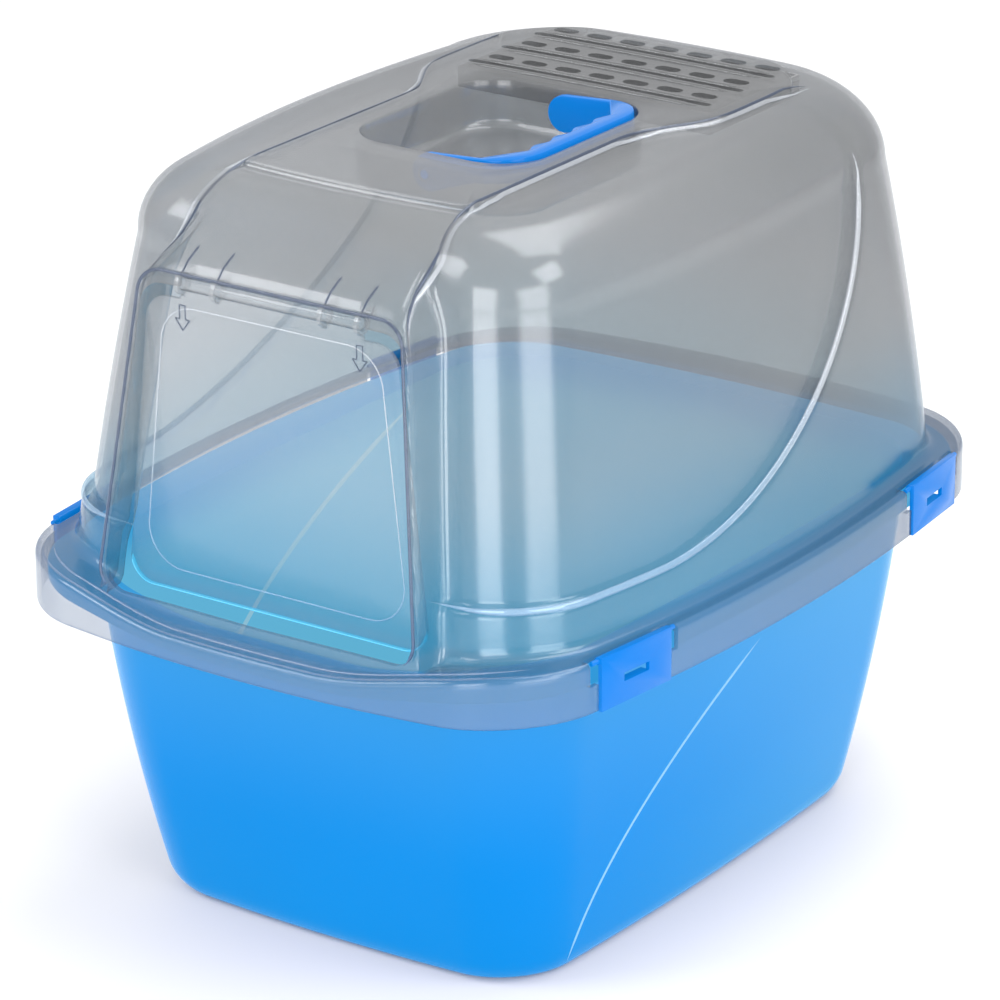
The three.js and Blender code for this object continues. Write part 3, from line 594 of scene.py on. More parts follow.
@dataclass(frozen=True)
class Finish:
    """What every finish shares: a name, two tones, and how the moulded skin is set."""

    name: str
    tone: tuple[float, float, float]
    deep: tuple[float, float, float]
    polish: float = 0.12
    haze: float = 0.06
    wave: float = 9.0
    grain: float = 0.1
    bump: float = 0.02

    def start(self) -> tuple[bpy.types.Material, bpy.types.Node, bpy.types.NodeSocket, bpy.types.Node]:
        """A material with the moulded skin, a tone mix and a bump.

        Returns:
            The material, its Principled shader, the output of its tone mix, and its bump.
        """
        material = bpy.data.materials.new(self.name)
        material.use_nodes = True
        tree = material.node_tree
        shader = tree.nodes["Principled BSDF"]
        values = {
            "Vector": add(tree, "TexCoord", {}).outputs["Object"], "Wave Scale": self.wave,
            "Polish": self.polish, "Haze": self.haze, "Grain": self.grain,
        }
        skin = add(tree, "Group", values, node_tree=MouldedSkin.group())
        tone = blend(tree, skin.outputs["Tone"], self.deep, self.tone)
        bump = add(tree, "Bump", {"Strength": self.bump, "Distance": 0.002, "Height": skin.outputs["Height"]})
        tree.links.new(tone, shader.inputs["Base Color"])
        tree.links.new(skin.outputs["Roughness"], shader.inputs["Roughness"])
        tree.links.new(bump.outputs["Normal"], shader.inputs["Normal"])
        return material, shader, tone, bump

    def build(self) -> bpy.types.Material:
        """The finished material."""
        return self.start()[0]


@dataclass(frozen=True)
class GlossyPlastic(Finish):
    """A solid glossy colour with a clear coat, and an emission of its own that paints light onto it, though
    it is no lamp.
    """

    shine: float = 0.5
    painted_glow: tuple[float, float, float] = (0.0, 0.2, 0.9)
    painted_glow_strength: float = 0.0
    coat: float = 0.3

    def build(self) -> bpy.types.Material:
        """The finished material."""
        material, shader, _, _ = self.start()
        shader.inputs["Coat Weight"].default_value = self.coat
        shader.inputs["Coat Roughness"].default_value = 0.05
        shader.inputs["Specular IOR Level"].default_value = self.shine
        # Painted light: the emission makes the part look brighter than the lamps light it.
        shader.inputs["Emission Color"].default_value = (*self.painted_glow, 1.0)
        shader.inputs["Emission Strength"].default_value = self.painted_glow_strength
        return material


@dataclass(frozen=True)
class PanPlastic(GlossyPlastic):
    """The pan's blue, brightened by painted light: an emission deep in front, paler to its rim and along its
    +X side, palest on its inner walls.
    """

    # Painted light: emission colours of the rim and the +X side, and of the inner walls.
    pale: tuple[float, float, float] = (0.075, 0.365, 0.53)
    inner: tuple[float, float, float] = (0.115, 0.425, 0.57)

    def build(self) -> bpy.types.Material:
        """The finished material: its painted light, an emission, changes from place to place, and lights
        other surfaces only faintly, at 0.15 of its strength on diffuse bounces.
        """
        material = super().build()
        tree = material.node_tree
        shader = tree.nodes["Principled BSDF"]
        at = add(tree, "SeparateXYZ", {"Vector": places(tree).outputs["Object"]}).outputs
        turn = add(tree, "SeparateXYZ", {"Vector": places(tree).outputs["Normal"]}).outputs
        # Painted light: paler up to the rim, and towards the rear on the side that faces +X.
        rise = ramp(tree, at["Z"], 0.06, 0.185, end=0.45)
        painted_rear_light = ramp(tree, at["Y"], -0.15, 0.18, end=0.6)
        sideways = ramp(tree, turn["X"], 0.5, 0.95)
        whole = reckon(tree, "MULTIPLY_ADD", painted_rear_light, sideways, rise)
        inside = add(tree, "Attribute", {}, attribute_name="inside").outputs["Fac"]
        # Painted light: palest on the inner walls, by the inside share.
        painted_glow = blend(tree, inside, blend(tree, whole, self.painted_glow, self.pale), self.inner)
        bounced = add(tree, "LightPath", {}).outputs["Is Diffuse Ray"]
        tree.links.new(painted_glow, shader.inputs["Emission Color"])
        tree.links.new(reckon(tree, "MULTIPLY_ADD", bounced, -0.85, 1.0), shader.inputs["Emission Strength"])
        return material


@dataclass(frozen=True)
class SmokyPlastic(Finish):
    """A see-through moulding: each surface lets most light straight through, with a grey veil and a gloss;
    low down it carries painted blue bounce light from the pan, and towards the rear painted shade.
    """

    tint: tuple[float, float, float] = (0.787, 0.790, 0.795)
    # Painted light: veil colours low down and on the skirt, a blue that stands in for light bounced from the
    # pan.
    low_painted_bounce: tuple[float, float, float] = (0.03, 0.31, 0.55)
    skirt_painted_bounce: tuple[float, float, float] = (0.10, 0.24, 0.48)
    fade: tuple[float, float] = (0.20, 0.30)
    edge_tint: tuple[float, float, float] = (0.22, 0.25, 0.30)
    veil: float = 0.13
    edge_veil: float = 0.22
    gloss_floor: float = 0.05
    gloss_roughness: float = 0.19
    # Painted shade: how much the clear part darkens towards the rear.
    rear_painted_shade: float = 0.83
    # Painted bounce light: a blue tint on the clear part low down.
    low_painted_bounce_tint: tuple[float, float, float] = (0.83, 0.96, 1.0)

    def build(self) -> bpy.types.Material:
        """The finished material: veil over clear by how edge-on the surface is, and gloss over both, with
        painted blue bounce light low down and painted shade towards the rear.
        """
        material, shader, tone, bump = self.start()
        tree = material.node_tree
        at = add(tree, "SeparateXYZ", {"Vector": places(tree).outputs["Object"]}).outputs
        climb = ramp(tree, at["Z"], *self.fade)
        above = ramp(tree, at["Z"], LEDGE_TOP + 0.001, LEDGE_TOP + 0.004, kind="LINEAR")
        facing = add(tree, "LayerWeight", {"Blend": 0.5}).outputs["Facing"]
        rim = reckon(tree, "POWER", facing, 5.0)
        depth = blend(tree, rim, self.tint, self.edge_tint)
        # Painted shade: darker towards the rear.
        painted_rear_dimming = ramp(tree, at["Y"], -0.16, 0.14, 1.0, self.rear_painted_shade)
        shade = add(tree, "VectorMath", {0: depth, "Scale": painted_rear_dimming}, operation="SCALE").outputs["Vector"]
        # Painted bounce light: the clear part takes a blue tint above the ledge and below the fade.
        clear_of_painted_bounce = reckon(tree, "MAXIMUM", climb, reckon(tree, "SUBTRACT", 1.0, above))
        painted_bounce_tint = blend(tree, clear_of_painted_bounce, self.low_painted_bounce_tint, (1.0, 1.0, 1.0))
        through = add(tree, "VectorMath", {0: shade, 1: painted_bounce_tint}, operation="MULTIPLY").outputs["Vector"]
        clear = add(tree, "BsdfTransparent", {"Color": through})
        # Painted bounce light: the veil turns blue low down, and takes its own blue on the skirt.
        painted_bounce = blend(tree, climb, self.low_painted_bounce, tone)
        tree.links.new(blend(tree, above, self.skirt_painted_bounce, painted_bounce), shader.inputs["Base Color"])
        veil = reckon(tree, "MULTIPLY_ADD", reckon(tree, "POWER", facing, 3.0), self.edge_veil, self.veil)
        mirror = reckon(tree, "MULTIPLY_ADD", rim, 0.6, self.gloss_floor)
        gloss = add(tree, "BsdfGlossy", {
            "Roughness": self.gloss_roughness,
            "Color": (0.95, 0.97, 1.0, 1.0),
            "Normal": bump.outputs["Normal"],
        })
        body = add(tree, "MixShader", {"Fac": veil, 1: clear.outputs["BSDF"], 2: shader.outputs["BSDF"]})
        whole = add(tree, "MixShader", {"Fac": mirror, 1: body.outputs["Shader"], 2: gloss.outputs["BSDF"]})
        tree.links.new(whole.outputs["Shader"], tree.nodes["Material Output"].inputs["Surface"])
        return material


@dataclass(frozen=True)
class CarbonFoam(Finish):
    """A soft dark filter foam: open cells."""

    def build(self) -> bpy.types.Material:
        """The finished material."""
        material, shader, tone, bump = self.start()
        tree = material.node_tree
        cells = add(tree, "TexVoronoi", {"Scale": 700.0, "Vector": places(tree).outputs["Object"]})
        tree.links.new(cells.outputs["Distance"], tone.node.inputs["Factor"])
        tree.links.new(cells.outputs["Distance"], bump.inputs["Height"])
        bump.inputs["Strength"].default_value = 0.8
        shader.inputs["Sheen Weight"].default_value = 0.2
        return material


@dataclass(frozen=True)
class Finishes:
    """Every finish of the box, made once."""

    pan: bpy.types.Material
    line: bpy.types.Material
    soft_highlight_line: bpy.types.Material
    smoky: bpy.types.Material
    edge: bpy.types.Material
    fold: bpy.types.Material
    lit_edge: bpy.types.Material
    clear: bpy.types.Material
    trim: bpy.types.Material
    tray: bpy.types.Material
    foam: bpy.types.Material
    floor: bpy.types.Material

    @staticmethod
    def make() -> "Finishes":
        """Builds all the materials."""
        return Finishes(
            pan=PanPlastic(
                "pan_blue_plastic", (0.0, 0.040, 0.24), (0.0, 0.026, 0.20), polish=0.2,
                painted_glow=(0.0, 0.250, 0.52), coat=0.02, shine=0.07, grain=0.02, bump=0.012,
            ).build(),
            # Painted highlight: the pan's raised side lines, outside and seen from inside, lit by emission.
            line=GlossyPlastic(
                "pan_line_painted_highlight", (0.10, 0.20, 0.30), (0.08, 0.16, 0.25), polish=0.3,
                painted_glow=(0.22, 0.60, 1.0), painted_glow_strength=0.6, coat=0.0, grain=0.02,
            ).build(),
            soft_highlight_line=GlossyPlastic(
                "pan_inner_line_painted_highlight", (0.05, 0.10, 0.24), (0.04, 0.08, 0.2), polish=0.4,
                painted_glow=(0.44, 0.86, 1.0), painted_glow_strength=0.55, coat=0.0, shine=0.1, grain=0.02,
            ).build(),
            smoky=SmokyPlastic(
                "smoky_plastic", (0.50, 0.505, 0.51), (0.43, 0.435, 0.44), grain=0.02, bump=0.003,
            ).build(),
            # Painted shade: a dark smoky finish for lines that stand in for the shade in the panel's creases,
            # on the doorway's rim, by the fin marks and round the flap's arrows.
            edge=SmokyPlastic(
                "smoky_shade_line", (0.10, 0.135, 0.22), (0.08, 0.11, 0.18), tint=(0.45, 0.50, 0.60),
                edge_tint=(0.5, 0.55, 0.62), low_painted_bounce=(0.07, 0.13, 0.26), veil=0.35, edge_veil=0.2,
                grain=0.02,
            ).build(),
            # Painted highlight: a bright smoky finish for the swoop's lip, the panel's highlight lines, the
            # ledge's raised lines and the flap's border.
            fold=SmokyPlastic(
                "smoky_painted_highlight", (0.84, 0.87, 0.92), (0.78, 0.81, 0.86), tint=(0.92, 0.93, 0.94),
                edge_tint=(0.7, 0.74, 0.8), low_painted_bounce=(0.40, 0.62, 0.88), skirt_painted_bounce=(0.40, 0.56, 0.85),
                veil=0.24, edge_veil=0.1, rear_painted_shade=1.0, grain=0.02,
            ).build(),
            # Painted light: the flap's lower edge is lit by its own emission.
            lit_edge=GlossyPlastic(
                "edge_lit_plastic", (0.10, 0.35, 0.5), (0.08, 0.3, 0.45), polish=0.12,
                painted_glow=(0.05, 0.62, 1.0), painted_glow_strength=0.55, coat=0.0, grain=0.02,
            ).build(),
            clear=SmokyPlastic(
                "clear_flap_plastic", (0.60, 0.61, 0.62), (0.52, 0.53, 0.54), tint=(0.90, 0.905, 0.91),
                low_painted_bounce_tint=(0.95, 0.99, 1.0), veil=0.10, edge_veil=0.2, grain=0.02,
            ).build(),
            # The handle's and latches' blue, with an emission that paints extra light on them.
            trim=GlossyPlastic(
                "trim_blue_plastic", (0.002, 0.095, 0.36), (0.001, 0.075, 0.30), polish=0.14, coat=0.05,
                painted_glow=(0.0, 0.27, 0.80), painted_glow_strength=0.42, shine=0.15, grain=0.02,
            ).build(),
            tray=Finish("tray_grey_plastic", (0.27, 0.275, 0.285), (0.22, 0.225, 0.235), polish=0.35).build(),
            foam=CarbonFoam("filter_foam", (0.10, 0.102, 0.106), (0.05, 0.051, 0.053), polish=0.9).build(),
            floor=Finish("pale_floor", (0.96, 0.96, 0.96), (0.94, 0.94, 0.94), polish=0.6, wave=1.0).build(),
        )


def dress(piece: bpy.types.Object, material: bpy.types.Material, body: str) -> None:
    """Gives a piece its material and its body, and reports it."""
    piece.data.materials.clear()
    piece.data.materials.append(material)
    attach(piece, body)
    log.info("%s: %d faces, rides on %s", piece.name, len(piece.data.polygons), body)


# ------------------------------------------------------------------ shared shape of the ledge and rim
@dataclass(frozen=True)
class FrontDip:
    """The ledge and the pan's rim sag together under the doorway."""

    depth: float = 0.0143
    flat: float = 0.045
    fade: float = 0.105
    ramp: float = 0.018
    hood_fade: float = 0.030

    def at(self, x: np.ndarray, y: np.ndarray, z: np.ndarray) -> np.ndarray:
        """How far a place sags: depth times one smooth step across, one along, and two ramps in height.

        Args:
            x: places along X.
            y: places along Y.
            z: heights before the sag.

        Returns:
            Distances to move down.
        """
        across = 1.0 - smooth_step((np.abs(x) - self.flat) / self.fade)
        front = smooth_step((-y / SKIRT_HALF_LENGTH - 0.6) / 0.2)
        up = np.clip((z - SKIRT_BOTTOM) / self.ramp, 0.0, 1.0)
        down = 1.0 - np.clip((z - LEDGE_TOP) / self.hood_fade, 0.0, 1.0)
        return self.depth * across * front * up * down


DIP = FrontDip()


def skirt_outline(inset: float) -> Outline:
    """The skirt's outline, moved inwards by a distance."""
    reach, corner = SKIRT_HALF_LENGTH - inset, SKIRT_CORNER - inset
    return Outline(SKIRT_HALF_WIDTH - inset, reach, reach, corner, corner, SKIRT_SIDE_BOW, SKIRT_END_BOW)


# ------------------------------------------------------------------ pan
@dataclass
class LitterPan:
    """The deep pan: a rounded tub with a flat rim and a lip that hangs inside the hood's skirt."""

    finishes: Finishes
    top_inset_side: float = 0.032
    top_inset_end: float = 0.035
    corner: float = 0.057
    base_corner: float = 0.042
    side_draft: float = 0.129
    end_draft: float = 0.185
    bow: float = 0.006
    bulge: float = 0.003
    foot_fillet: float = 0.014
    foot_inset: float = 0.009
    rim_inset: float = 0.006
    lip: float = 0.010
    columns: int = 360
    inner_rows: int = 0

    def outline(self, z: float, inset: float) -> Outline:
        """The wall's outline at a height: draft, a bulge of 4 s (1 - s) and corners that tighten downwards.

        Args:
            z: the height.
            inset: how far it is moved inwards.

        Returns:
            The outline.
        """
        fall = RIM_TOP - z
        share = fall / RIM_TOP
        reach = 4 * self.bulge * share * (1 - share) - inset
        length = SKIRT_HALF_LENGTH - self.top_inset_end - self.end_draft * fall + reach
        half_x = SKIRT_HALF_WIDTH - self.top_inset_side - self.side_draft * fall + reach
        corner = self.corner + (self.base_corner - self.corner) * share - 0.6 * inset
        return Outline(half_x, length, length, corner, corner, self.bow, self.bow)

    def wall_rows(self, foot: float, top: float, inset: float) -> list[tuple[float, Outline]]:
        """Rows from the foot's rounding up to a height.

        Args:
            foot: height of the underside or the floor.
            top: height of the last row.
            inset: 0 outside, the wall inside.

        Returns:
            Pairs of height and outline.
        """
        rows = []
        for angle in np.linspace(0.0, math.pi / 2, 9):
            z = foot + (self.foot_fillet - inset) * (1 - math.cos(angle))
            rows.append((z, self.outline(z, inset + self.foot_inset * (1 - math.sin(angle)))))
        heights = np.linspace(foot + self.foot_fillet, top, 22)[1:]
        return rows + [(z, self.outline(z, inset)) for z in heights]

    def rows(self) -> list[tuple[float, Outline]]:
        """Every row: up the outside, round the lip, over the rim and down the inside."""
        outside = self.wall_rows(0.0, RIM_TOP - WALL, 0.0)
        lip_low = RIM_TOP - self.lip
        edge = self.rim_inset
        lip = [
            (RIM_TOP - WALL, skirt_outline(edge + WALL + 0.002)),
            (RIM_TOP - WALL - 0.002, skirt_outline(edge + WALL)),
            (lip_low + 0.0005, skirt_outline(edge + WALL)),
            (lip_low, skirt_outline(edge + WALL - 0.0006)),
            (lip_low, skirt_outline(edge + 0.0006)),
            (lip_low + 0.0006, skirt_outline(edge)),
            (RIM_TOP - 0.0025, skirt_outline(edge)),
            (RIM_TOP - 0.0009, skirt_outline(edge + 0.0007)),
            (RIM_TOP, skirt_outline(edge + 0.0024)),
        ]
        inside = self.wall_rows(WALL, RIM_TOP - 0.002, WALL)[::-1]
        self.inner_rows = len(inside)
        brink = [
            (RIM_TOP, self.outline(RIM_TOP, WALL - 0.002)),
            (RIM_TOP - 0.0006, self.outline(RIM_TOP, WALL)),
        ]
        return outside + lip + brink + inside

    def build(self) -> bpy.types.Object:
        """Makes the pan: each row is the outline at its height, sagging at the front dip."""
        angles = np.linspace(0.0, 2 * math.pi, self.columns, endpoint=False)
        rings = []
        rows = self.rows()
        for z, outline in rows:
            radius = polar_radius(outline.points(), 0.0, angles)
            x, y = radius * np.cos(angles), radius * np.sin(angles)
            rings.append(np.column_stack([x, y, z - DIP.at(x, y, z)]))
        piece = closed_grid("pan_body", np.array(rings))
        heights = np.array([z for z, _ in rows])
        # The inside share: where the pan's material paints its inner walls palest, as painted light.
        within = np.arange(len(rows)) >= len(rows) - self.inner_rows
        share = np.where(within, smooth_step((RIM_TOP - 0.002 - heights) / 0.026), 0.0)
        mark = piece.data.attributes.new("inside", "FLOAT", "POINT")
        mark.data.foreach_set("value", np.concatenate([np.repeat(share, self.columns), [0.0, 1.0]]))
        smooth_by_angle(piece, 40.0)
        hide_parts("litter_pan")
        dress(piece, self.finishes.pan, "pan")
        return piece

    def side_line(self, side: int, inset: float) -> bpy.types.Object:
        """The thin raised line that sweeps down one side, on a quadratic curve (y, z) over the wall,
        brightened by a painted emission.

        Args:
            side: 1 for +X, -1 for -X.
            inset: 0 on the outside of the wall, the wall on its inside.

        Returns:
            The piece.
        """
        t = np.linspace(0.0, 1.0, 60)[:, None]
        start, middle, end = np.array([0.015, 0.1465]), np.array([-0.118, 0.084]), np.array([-0.1366, 0.0078])
        if inset:
            t = np.linspace(-0.35, 1.0, 60)[:, None]
        y, z = ((1 - t) ** 2 * start + 2 * (1 - t) * t * middle + t**2 * end).T
        x = np.empty_like(y)
        for k, (yk, zk) in enumerate(zip(y, z)):
            x[k] = side_reach(self.outline(zk, inset).points(), yk)
        path = np.column_stack([side * x, y, z])
        name = f"pan_line_{'right' if side > 0 else 'left'}_{'inner' if inset else 'outer'}"
        wide, finish = (0.0017, self.finishes.soft_highlight_line) if inset else (0.0009, self.finishes.line)
        piece = bead(name, path, np.array([side * 1.0, 0.0, -0.12]), wide, 0.0005)
        dress(piece, finish, "pan")
        return piece


def side_reach(loop: np.ndarray, y: float) -> float:
    """How far along +X a loop stands at one place along Y."""
    right = loop[loop[:, 0] > 0]
    order = np.argsort(right[:, 1])
    return float(np.interp(y, right[order, 1], right[order, 0]))


# ------------------------------------------------------------------ hood
@dataclass
class Portal:
    """The tunnel that frames the doorway, with the sloping panel above it."""

    half_top: float = 0.084
    half_bottom: float = 0.104
    top: float = 0.380
    sill: float = 0.201
    lean: float = 0.112
    foot_y: float = -0.235
    corner: float = 0.016
    sag: float = 0.0012
    lintel: float = 0.009
    plateau_y: float = -0.1514
    plateau_half: float = 0.065
    barrel_z: float = 0.3733
    barrel_y: float = -0.2129
    barrel_end: float = 0.05825
    ring_reach: float = 0.0064
    fins: tuple[float, ...] = (-0.057, -0.034, 0.034, 0.057)

    def half(self, z: np.ndarray | float) -> np.ndarray | float:
        """Half width of the frame at a height."""
        share = (z - self.sill) / (self.top - self.sill)
        return self.half_bottom + (self.half_top - self.half_bottom) * share

    def front(self, z: np.ndarray | float) -> np.ndarray | float:
        """Where the leaning frame stands along Y at a height."""
        return self.foot_y + self.lean * (z - self.sill)

    def frame(self, inset: float, bottom: float, top: float, corner: float) -> np.ndarray:
        """The frame's outline: leaning sides and four round corners.

        Args:
            inset: how far the sides are moved inwards.
            bottom: height of its lower edge.
            top: height of its upper edge.
            corner: radius of its corners.

        Returns:
            Points (x, z) in order.
        """
        loop = []
        corners = ((1, bottom, -90, 1), (1, top, 0, -1), (-1, top, 90, -1), (-1, bottom, 180, 1))
        for side, z, start, inward in corners:
            angle = np.radians(start + np.linspace(0.0, 90.0, 10))
            middle_z = z + inward * corner
            middle_x = side * (self.half(middle_z) - inset - corner)
            x, up = middle_x + corner * np.cos(angle), middle_z + corner * np.sin(angle)
            loop.append(np.column_stack([x, up]))
        return np.vstack(loop)

    def planes(self, inset: float) -> tuple[np.ndarray, np.ndarray]:
        """The planes of the convex block, moved inwards by a distance."""
        loop = self.frame(inset, LEDGE_TOP - 0.030, self.top - inset, self.corner - inset)
        front = np.column_stack([loop[:, 0], self.front(loop[:, 1]) + inset, loop[:, 1]])
        back = np.column_stack([loop[:, 0], np.full(len(loop), 0.04), loop[:, 1]])
        half, high = self.plateau_half - inset, ROOF - 0.001 - inset
        top = [(s * half, y, high) for s in (-1, 1) for y in (self.plateau_y, 0.04)]
        return hull_planes(np.vstack([front, back, np.array(top)]))


@dataclass
class HoodShell:
    """The smoky hood: skirt, ledge, leaning walls with the swoop, rounded roof, raised panel and recess."""

    finishes: Finishes
    portal: Portal = field(default_factory=Portal)
    centre_y: float = -0.009
    ledge_side: float = 0.014
    ledge_front: float = 0.035
    ledge_rear: float = 0.0335
    side_taper: float = 0.163
    front_taper: float = 0.168
    rear_taper: float = 0.027
    foot_corner: float = 0.043
    top_front_corner: float = 0.042
    top_rear_corner: float = 0.075
    side_bow: float = 0.023
    end_bow: float = 0.009
    upper_bow: float = 0.7
    bulge: float = 0.002
    fillet: float = 0.041
    swoop_step: float = 0.0045
    swoop_rise: float = 0.0245
    panel_front: float = -0.1514
    panel_rear: float = 0.1664
    panel_narrow: float = 0.070
    panel_wide: float = 0.09445
    panel_slope: float = 0.005
    panel_corner: float = 0.012
    recess_half_x: float = 0.057
    recess_half_y: float = 0.067
    recess_corner: float = 0.028
    recess_depth: float = 0.028
    recess_foot: float = 0.006
    slot_half: float = 0.07945
    hole_pitch: float = 0.0223
    hole_radius: float = 0.004
    hole_set_back: float = 0.0133
    notch: tuple[float, ...] = (-0.0057, 0.005, 0.0283, 0.173, 0.214)
    groove: tuple[float, ...] = (-0.0078, 0.0012, 0.0345, 0.193, 0.2088)

    # ---- outlines
    def shoulder(self) -> float:
        """Height at which the walls start to round into the roof."""
        return ROOF - self.fillet

    def wall_outline(self, z: float, inset: float) -> Outline:
        """The body's outline at a height: tapers, a mid bulge, and bows and corners that change upwards.

        Args:
            z: the height.
            inset: how far it is moved inwards.

        Returns:
            The outline.
        """
        rise = z - LEDGE_TOP
        share = rise / (ROOF - LEDGE_TOP)
        reach = 4 * self.bulge * share * (1 - share) - inset
        bow = 1 - (1 - self.upper_bow) * share
        return Outline(
            SKIRT_HALF_WIDTH - self.ledge_side - self.side_taper * rise + reach,
            SKIRT_HALF_LENGTH - self.ledge_front - self.front_taper * rise + reach,
            SKIRT_HALF_LENGTH - self.ledge_rear - self.rear_taper * rise + reach,
            self.foot_corner + (self.top_front_corner - self.foot_corner) * share - 0.6 * inset,
            self.foot_corner + (self.top_rear_corner - self.foot_corner) * share - 0.6 * inset,
            self.side_bow * bow,
            self.end_bow * bow,
        )

    def swoop_curve(self) -> np.ndarray:
        """The swoop as (y, z) points on a cubic curve from the roof down, then forward above the ledge."""
        level = LEDGE_TOP + self.swoop_rise
        pins = np.array([[0.116, ROOF], [0.152, (ROOF + level) / 2], [0.003, level], [-0.110, level]])
        t = np.linspace(0.0, 1.0, 160)[:, None]
        back = 1 - t
        return back**3 * pins[0] + 3 * back**2 * t * pins[1] + 3 * back * t**2 * pins[2] + t**3 * pins[3]

    def swoop_share(self, y: np.ndarray, z: float) -> np.ndarray:
        """1 below and behind the swoop, 0 above and in front, with a smooth step of 6 mm between.

        Args:
            y: places along Y of one row.
            z: the row's height.

        Returns:
            One share for each place.
        """
        curve = self.swoop_curve()
        flat = np.array([[-0.30, curve[-1, 1]]])
        line = np.vstack([curve, flat])
        a, b = line[:-1], line[1:]
        place = np.column_stack([y, np.full_like(y, z)])
        along = b - a
        t = np.einsum("pkc,kc->pk", place[:, None] - a[None], along) / (along**2).sum(1)
        nearest = a[None] + np.clip(t, 0, 1)[..., None] * along[None]
        distance = np.linalg.norm(place[:, None] - nearest, axis=2).min(1)
        edge = np.interp(z, curve[::-1, 1], curve[::-1, 0])
        inside = (y > edge) | (z < curve[-1, 1])
        return smooth_step(0.5 + np.where(inside, distance, -distance) / 0.006)

    def wall_radius(self, z: float, inset: float, angles: np.ndarray, planes, fade: float = 1.0,
                    shape_z: float | None = None) -> np.ndarray:
        """Radius of one wall row, with the swoop's step and the portal pushed through.

        Args:
            z: the row's height.
            inset: how far the body's outline is moved inwards.
            angles: directions of the columns.
            planes: the portal block's planes.
            fade: share of the swoop's step that is left.
            shape_z: height whose outline the row takes, where it isn't the row's own.

        Returns:
            One radius for each column.
        """
        at = z if shape_z is None else shape_z
        half_step = self.swoop_step / 2 * fade
        near = polar_radius(self.wall_outline(at, inset + half_step).points(), self.centre_y, angles)
        far = polar_radius(self.wall_outline(at, inset - half_step).points(), self.centre_y, angles)
        y = self.centre_y + 0.5 * (near + far) * np.sin(angles)
        body = near + (far - near) * self.swoop_share(y, z)
        return soft_max(body, self.portal_radius(z, angles, planes), 0.006)

    def portal_radius(self, z: float, angles: np.ndarray, planes) -> np.ndarray:
        """Where level rays leave the portal block: the soft minimum over its planes.

        Args:
            z: height of the rays.
            angles: their directions.
            planes: outward normals and reaches.

        Returns:
            One radius for each ray, 0 where the block isn't met.
        """
        normals, reaches = planes
        origin = np.array([0.0, self.centre_y, z])
        ray = np.column_stack([np.cos(angles), np.sin(angles), np.zeros_like(angles)])
        speed = ray @ normals.T
        room = reaches - normals @ origin
        with np.errstate(divide="ignore", invalid="ignore"):
            exits = np.where(speed > 1e-6, room[None] / speed, 1.0)
        if (room < 0).any():
            return np.zeros_like(angles)
        width = 0.0012
        least = exits.min(1, keepdims=True)
        return (least[:, 0] - width * np.log(np.exp(-(exits - least) / width).sum(1))).clip(0)

    def panel_radius(self, grow: float, angles: np.ndarray) -> np.ndarray:
        """Radius of the raised panel's outline, grown by a distance: narrow in front, wide by the vent."""
        jog_length = 0.043
        jog = VENT_FRONT - 0.015 - jog_length
        rear, corner = self.panel_rear + grow, self.panel_corner
        half = [
            (self.panel_narrow + grow, self.panel_front - grow),
            (self.panel_narrow + grow, jog - grow),
            (self.panel_wide + grow, jog + jog_length - grow),
            (self.panel_wide + grow, rear - corner),
            (self.panel_wide + grow - corner, rear),
        ]
        loop = dense_polygon(half + [(-x, y) for x, y in half[::-1]])
        radius = polar_radius(loop, self.centre_y, angles)
        kernel = np.array([1, 2, 3, 2, 1]) / 9.0
        padded = np.concatenate([radius[-2:], radius, radius[:2]])
        return np.convolve(padded, kernel, mode="valid")

    def recess_radius(self, grow: float, angles: np.ndarray) -> np.ndarray:
        """Radius of the handle's recess, grown by a distance."""
        corner = self.recess_corner + grow
        shape = Outline(self.recess_half_x + grow, self.recess_half_y + grow, self.recess_half_y + grow,
                        corner, corner, centre_y=self.centre_y)
        return polar_radius(shape.points(), self.centre_y, angles)

    # ---- columns and rows
    def columns(self, fine: bool) -> np.ndarray:
        """Directions of the columns, closer together beside the portal's side walls."""
        coarse = 0.8 if fine else 1.6
        tight = 0.3 if fine else 0.6
        parts = [np.arange(0, 18, coarse), np.arange(18, 31, tight), np.arange(31, 180.01, coarse)]
        front = np.concatenate(parts)
        right = -90.0 + front
        left = -90.0 - front[1:-1]
        return np.radians(np.sort(np.mod(np.concatenate([right, left]), 360.0)))

    def wall_heights(self, start: float, fine: bool) -> np.ndarray:
        """Heights of the wall rows: even steps, finer where the swoop levels out."""
        step = 0.003 if fine else 0.008
        even = np.arange(start, self.shoulder() - step / 2, step)
        if not fine:
            return even
        level = LEDGE_TOP + self.swoop_rise
        close = np.arange(level - 0.006, level + 0.0061, 0.001)
        kept = even[np.abs(even - level) > 0.0068]
        return np.sort(np.concatenate([kept, close]))

    def skin(self, name: str, inset: float, fine: bool) -> bpy.types.Object:
        """One closed skin of the hood, from the skirt's lower edge over the roof to the recess's floor.

        Rows go up the skirt, in along the ledge, up the wall, round a quarter circle into the roof, over the
        raised panel on a smooth step and down into the recess. Every place then sags by the front dip.

        Args:
            name: the object's name.
            inset: 0 for the outside, the wall for the inside.
            fine: whether it has the finer rows and columns.

        Returns:
            The closed solid.
        """
        angles = self.columns(fine)
        planes = self.portal.planes(inset)
        rows: list[tuple[np.ndarray, np.ndarray | float]] = []

        def skirt(z: float, extra: float) -> None:
            """Adds a row on the skirt's outline."""
            rows.append((polar_radius(skirt_outline(inset + extra).points(), self.centre_y, angles), z))

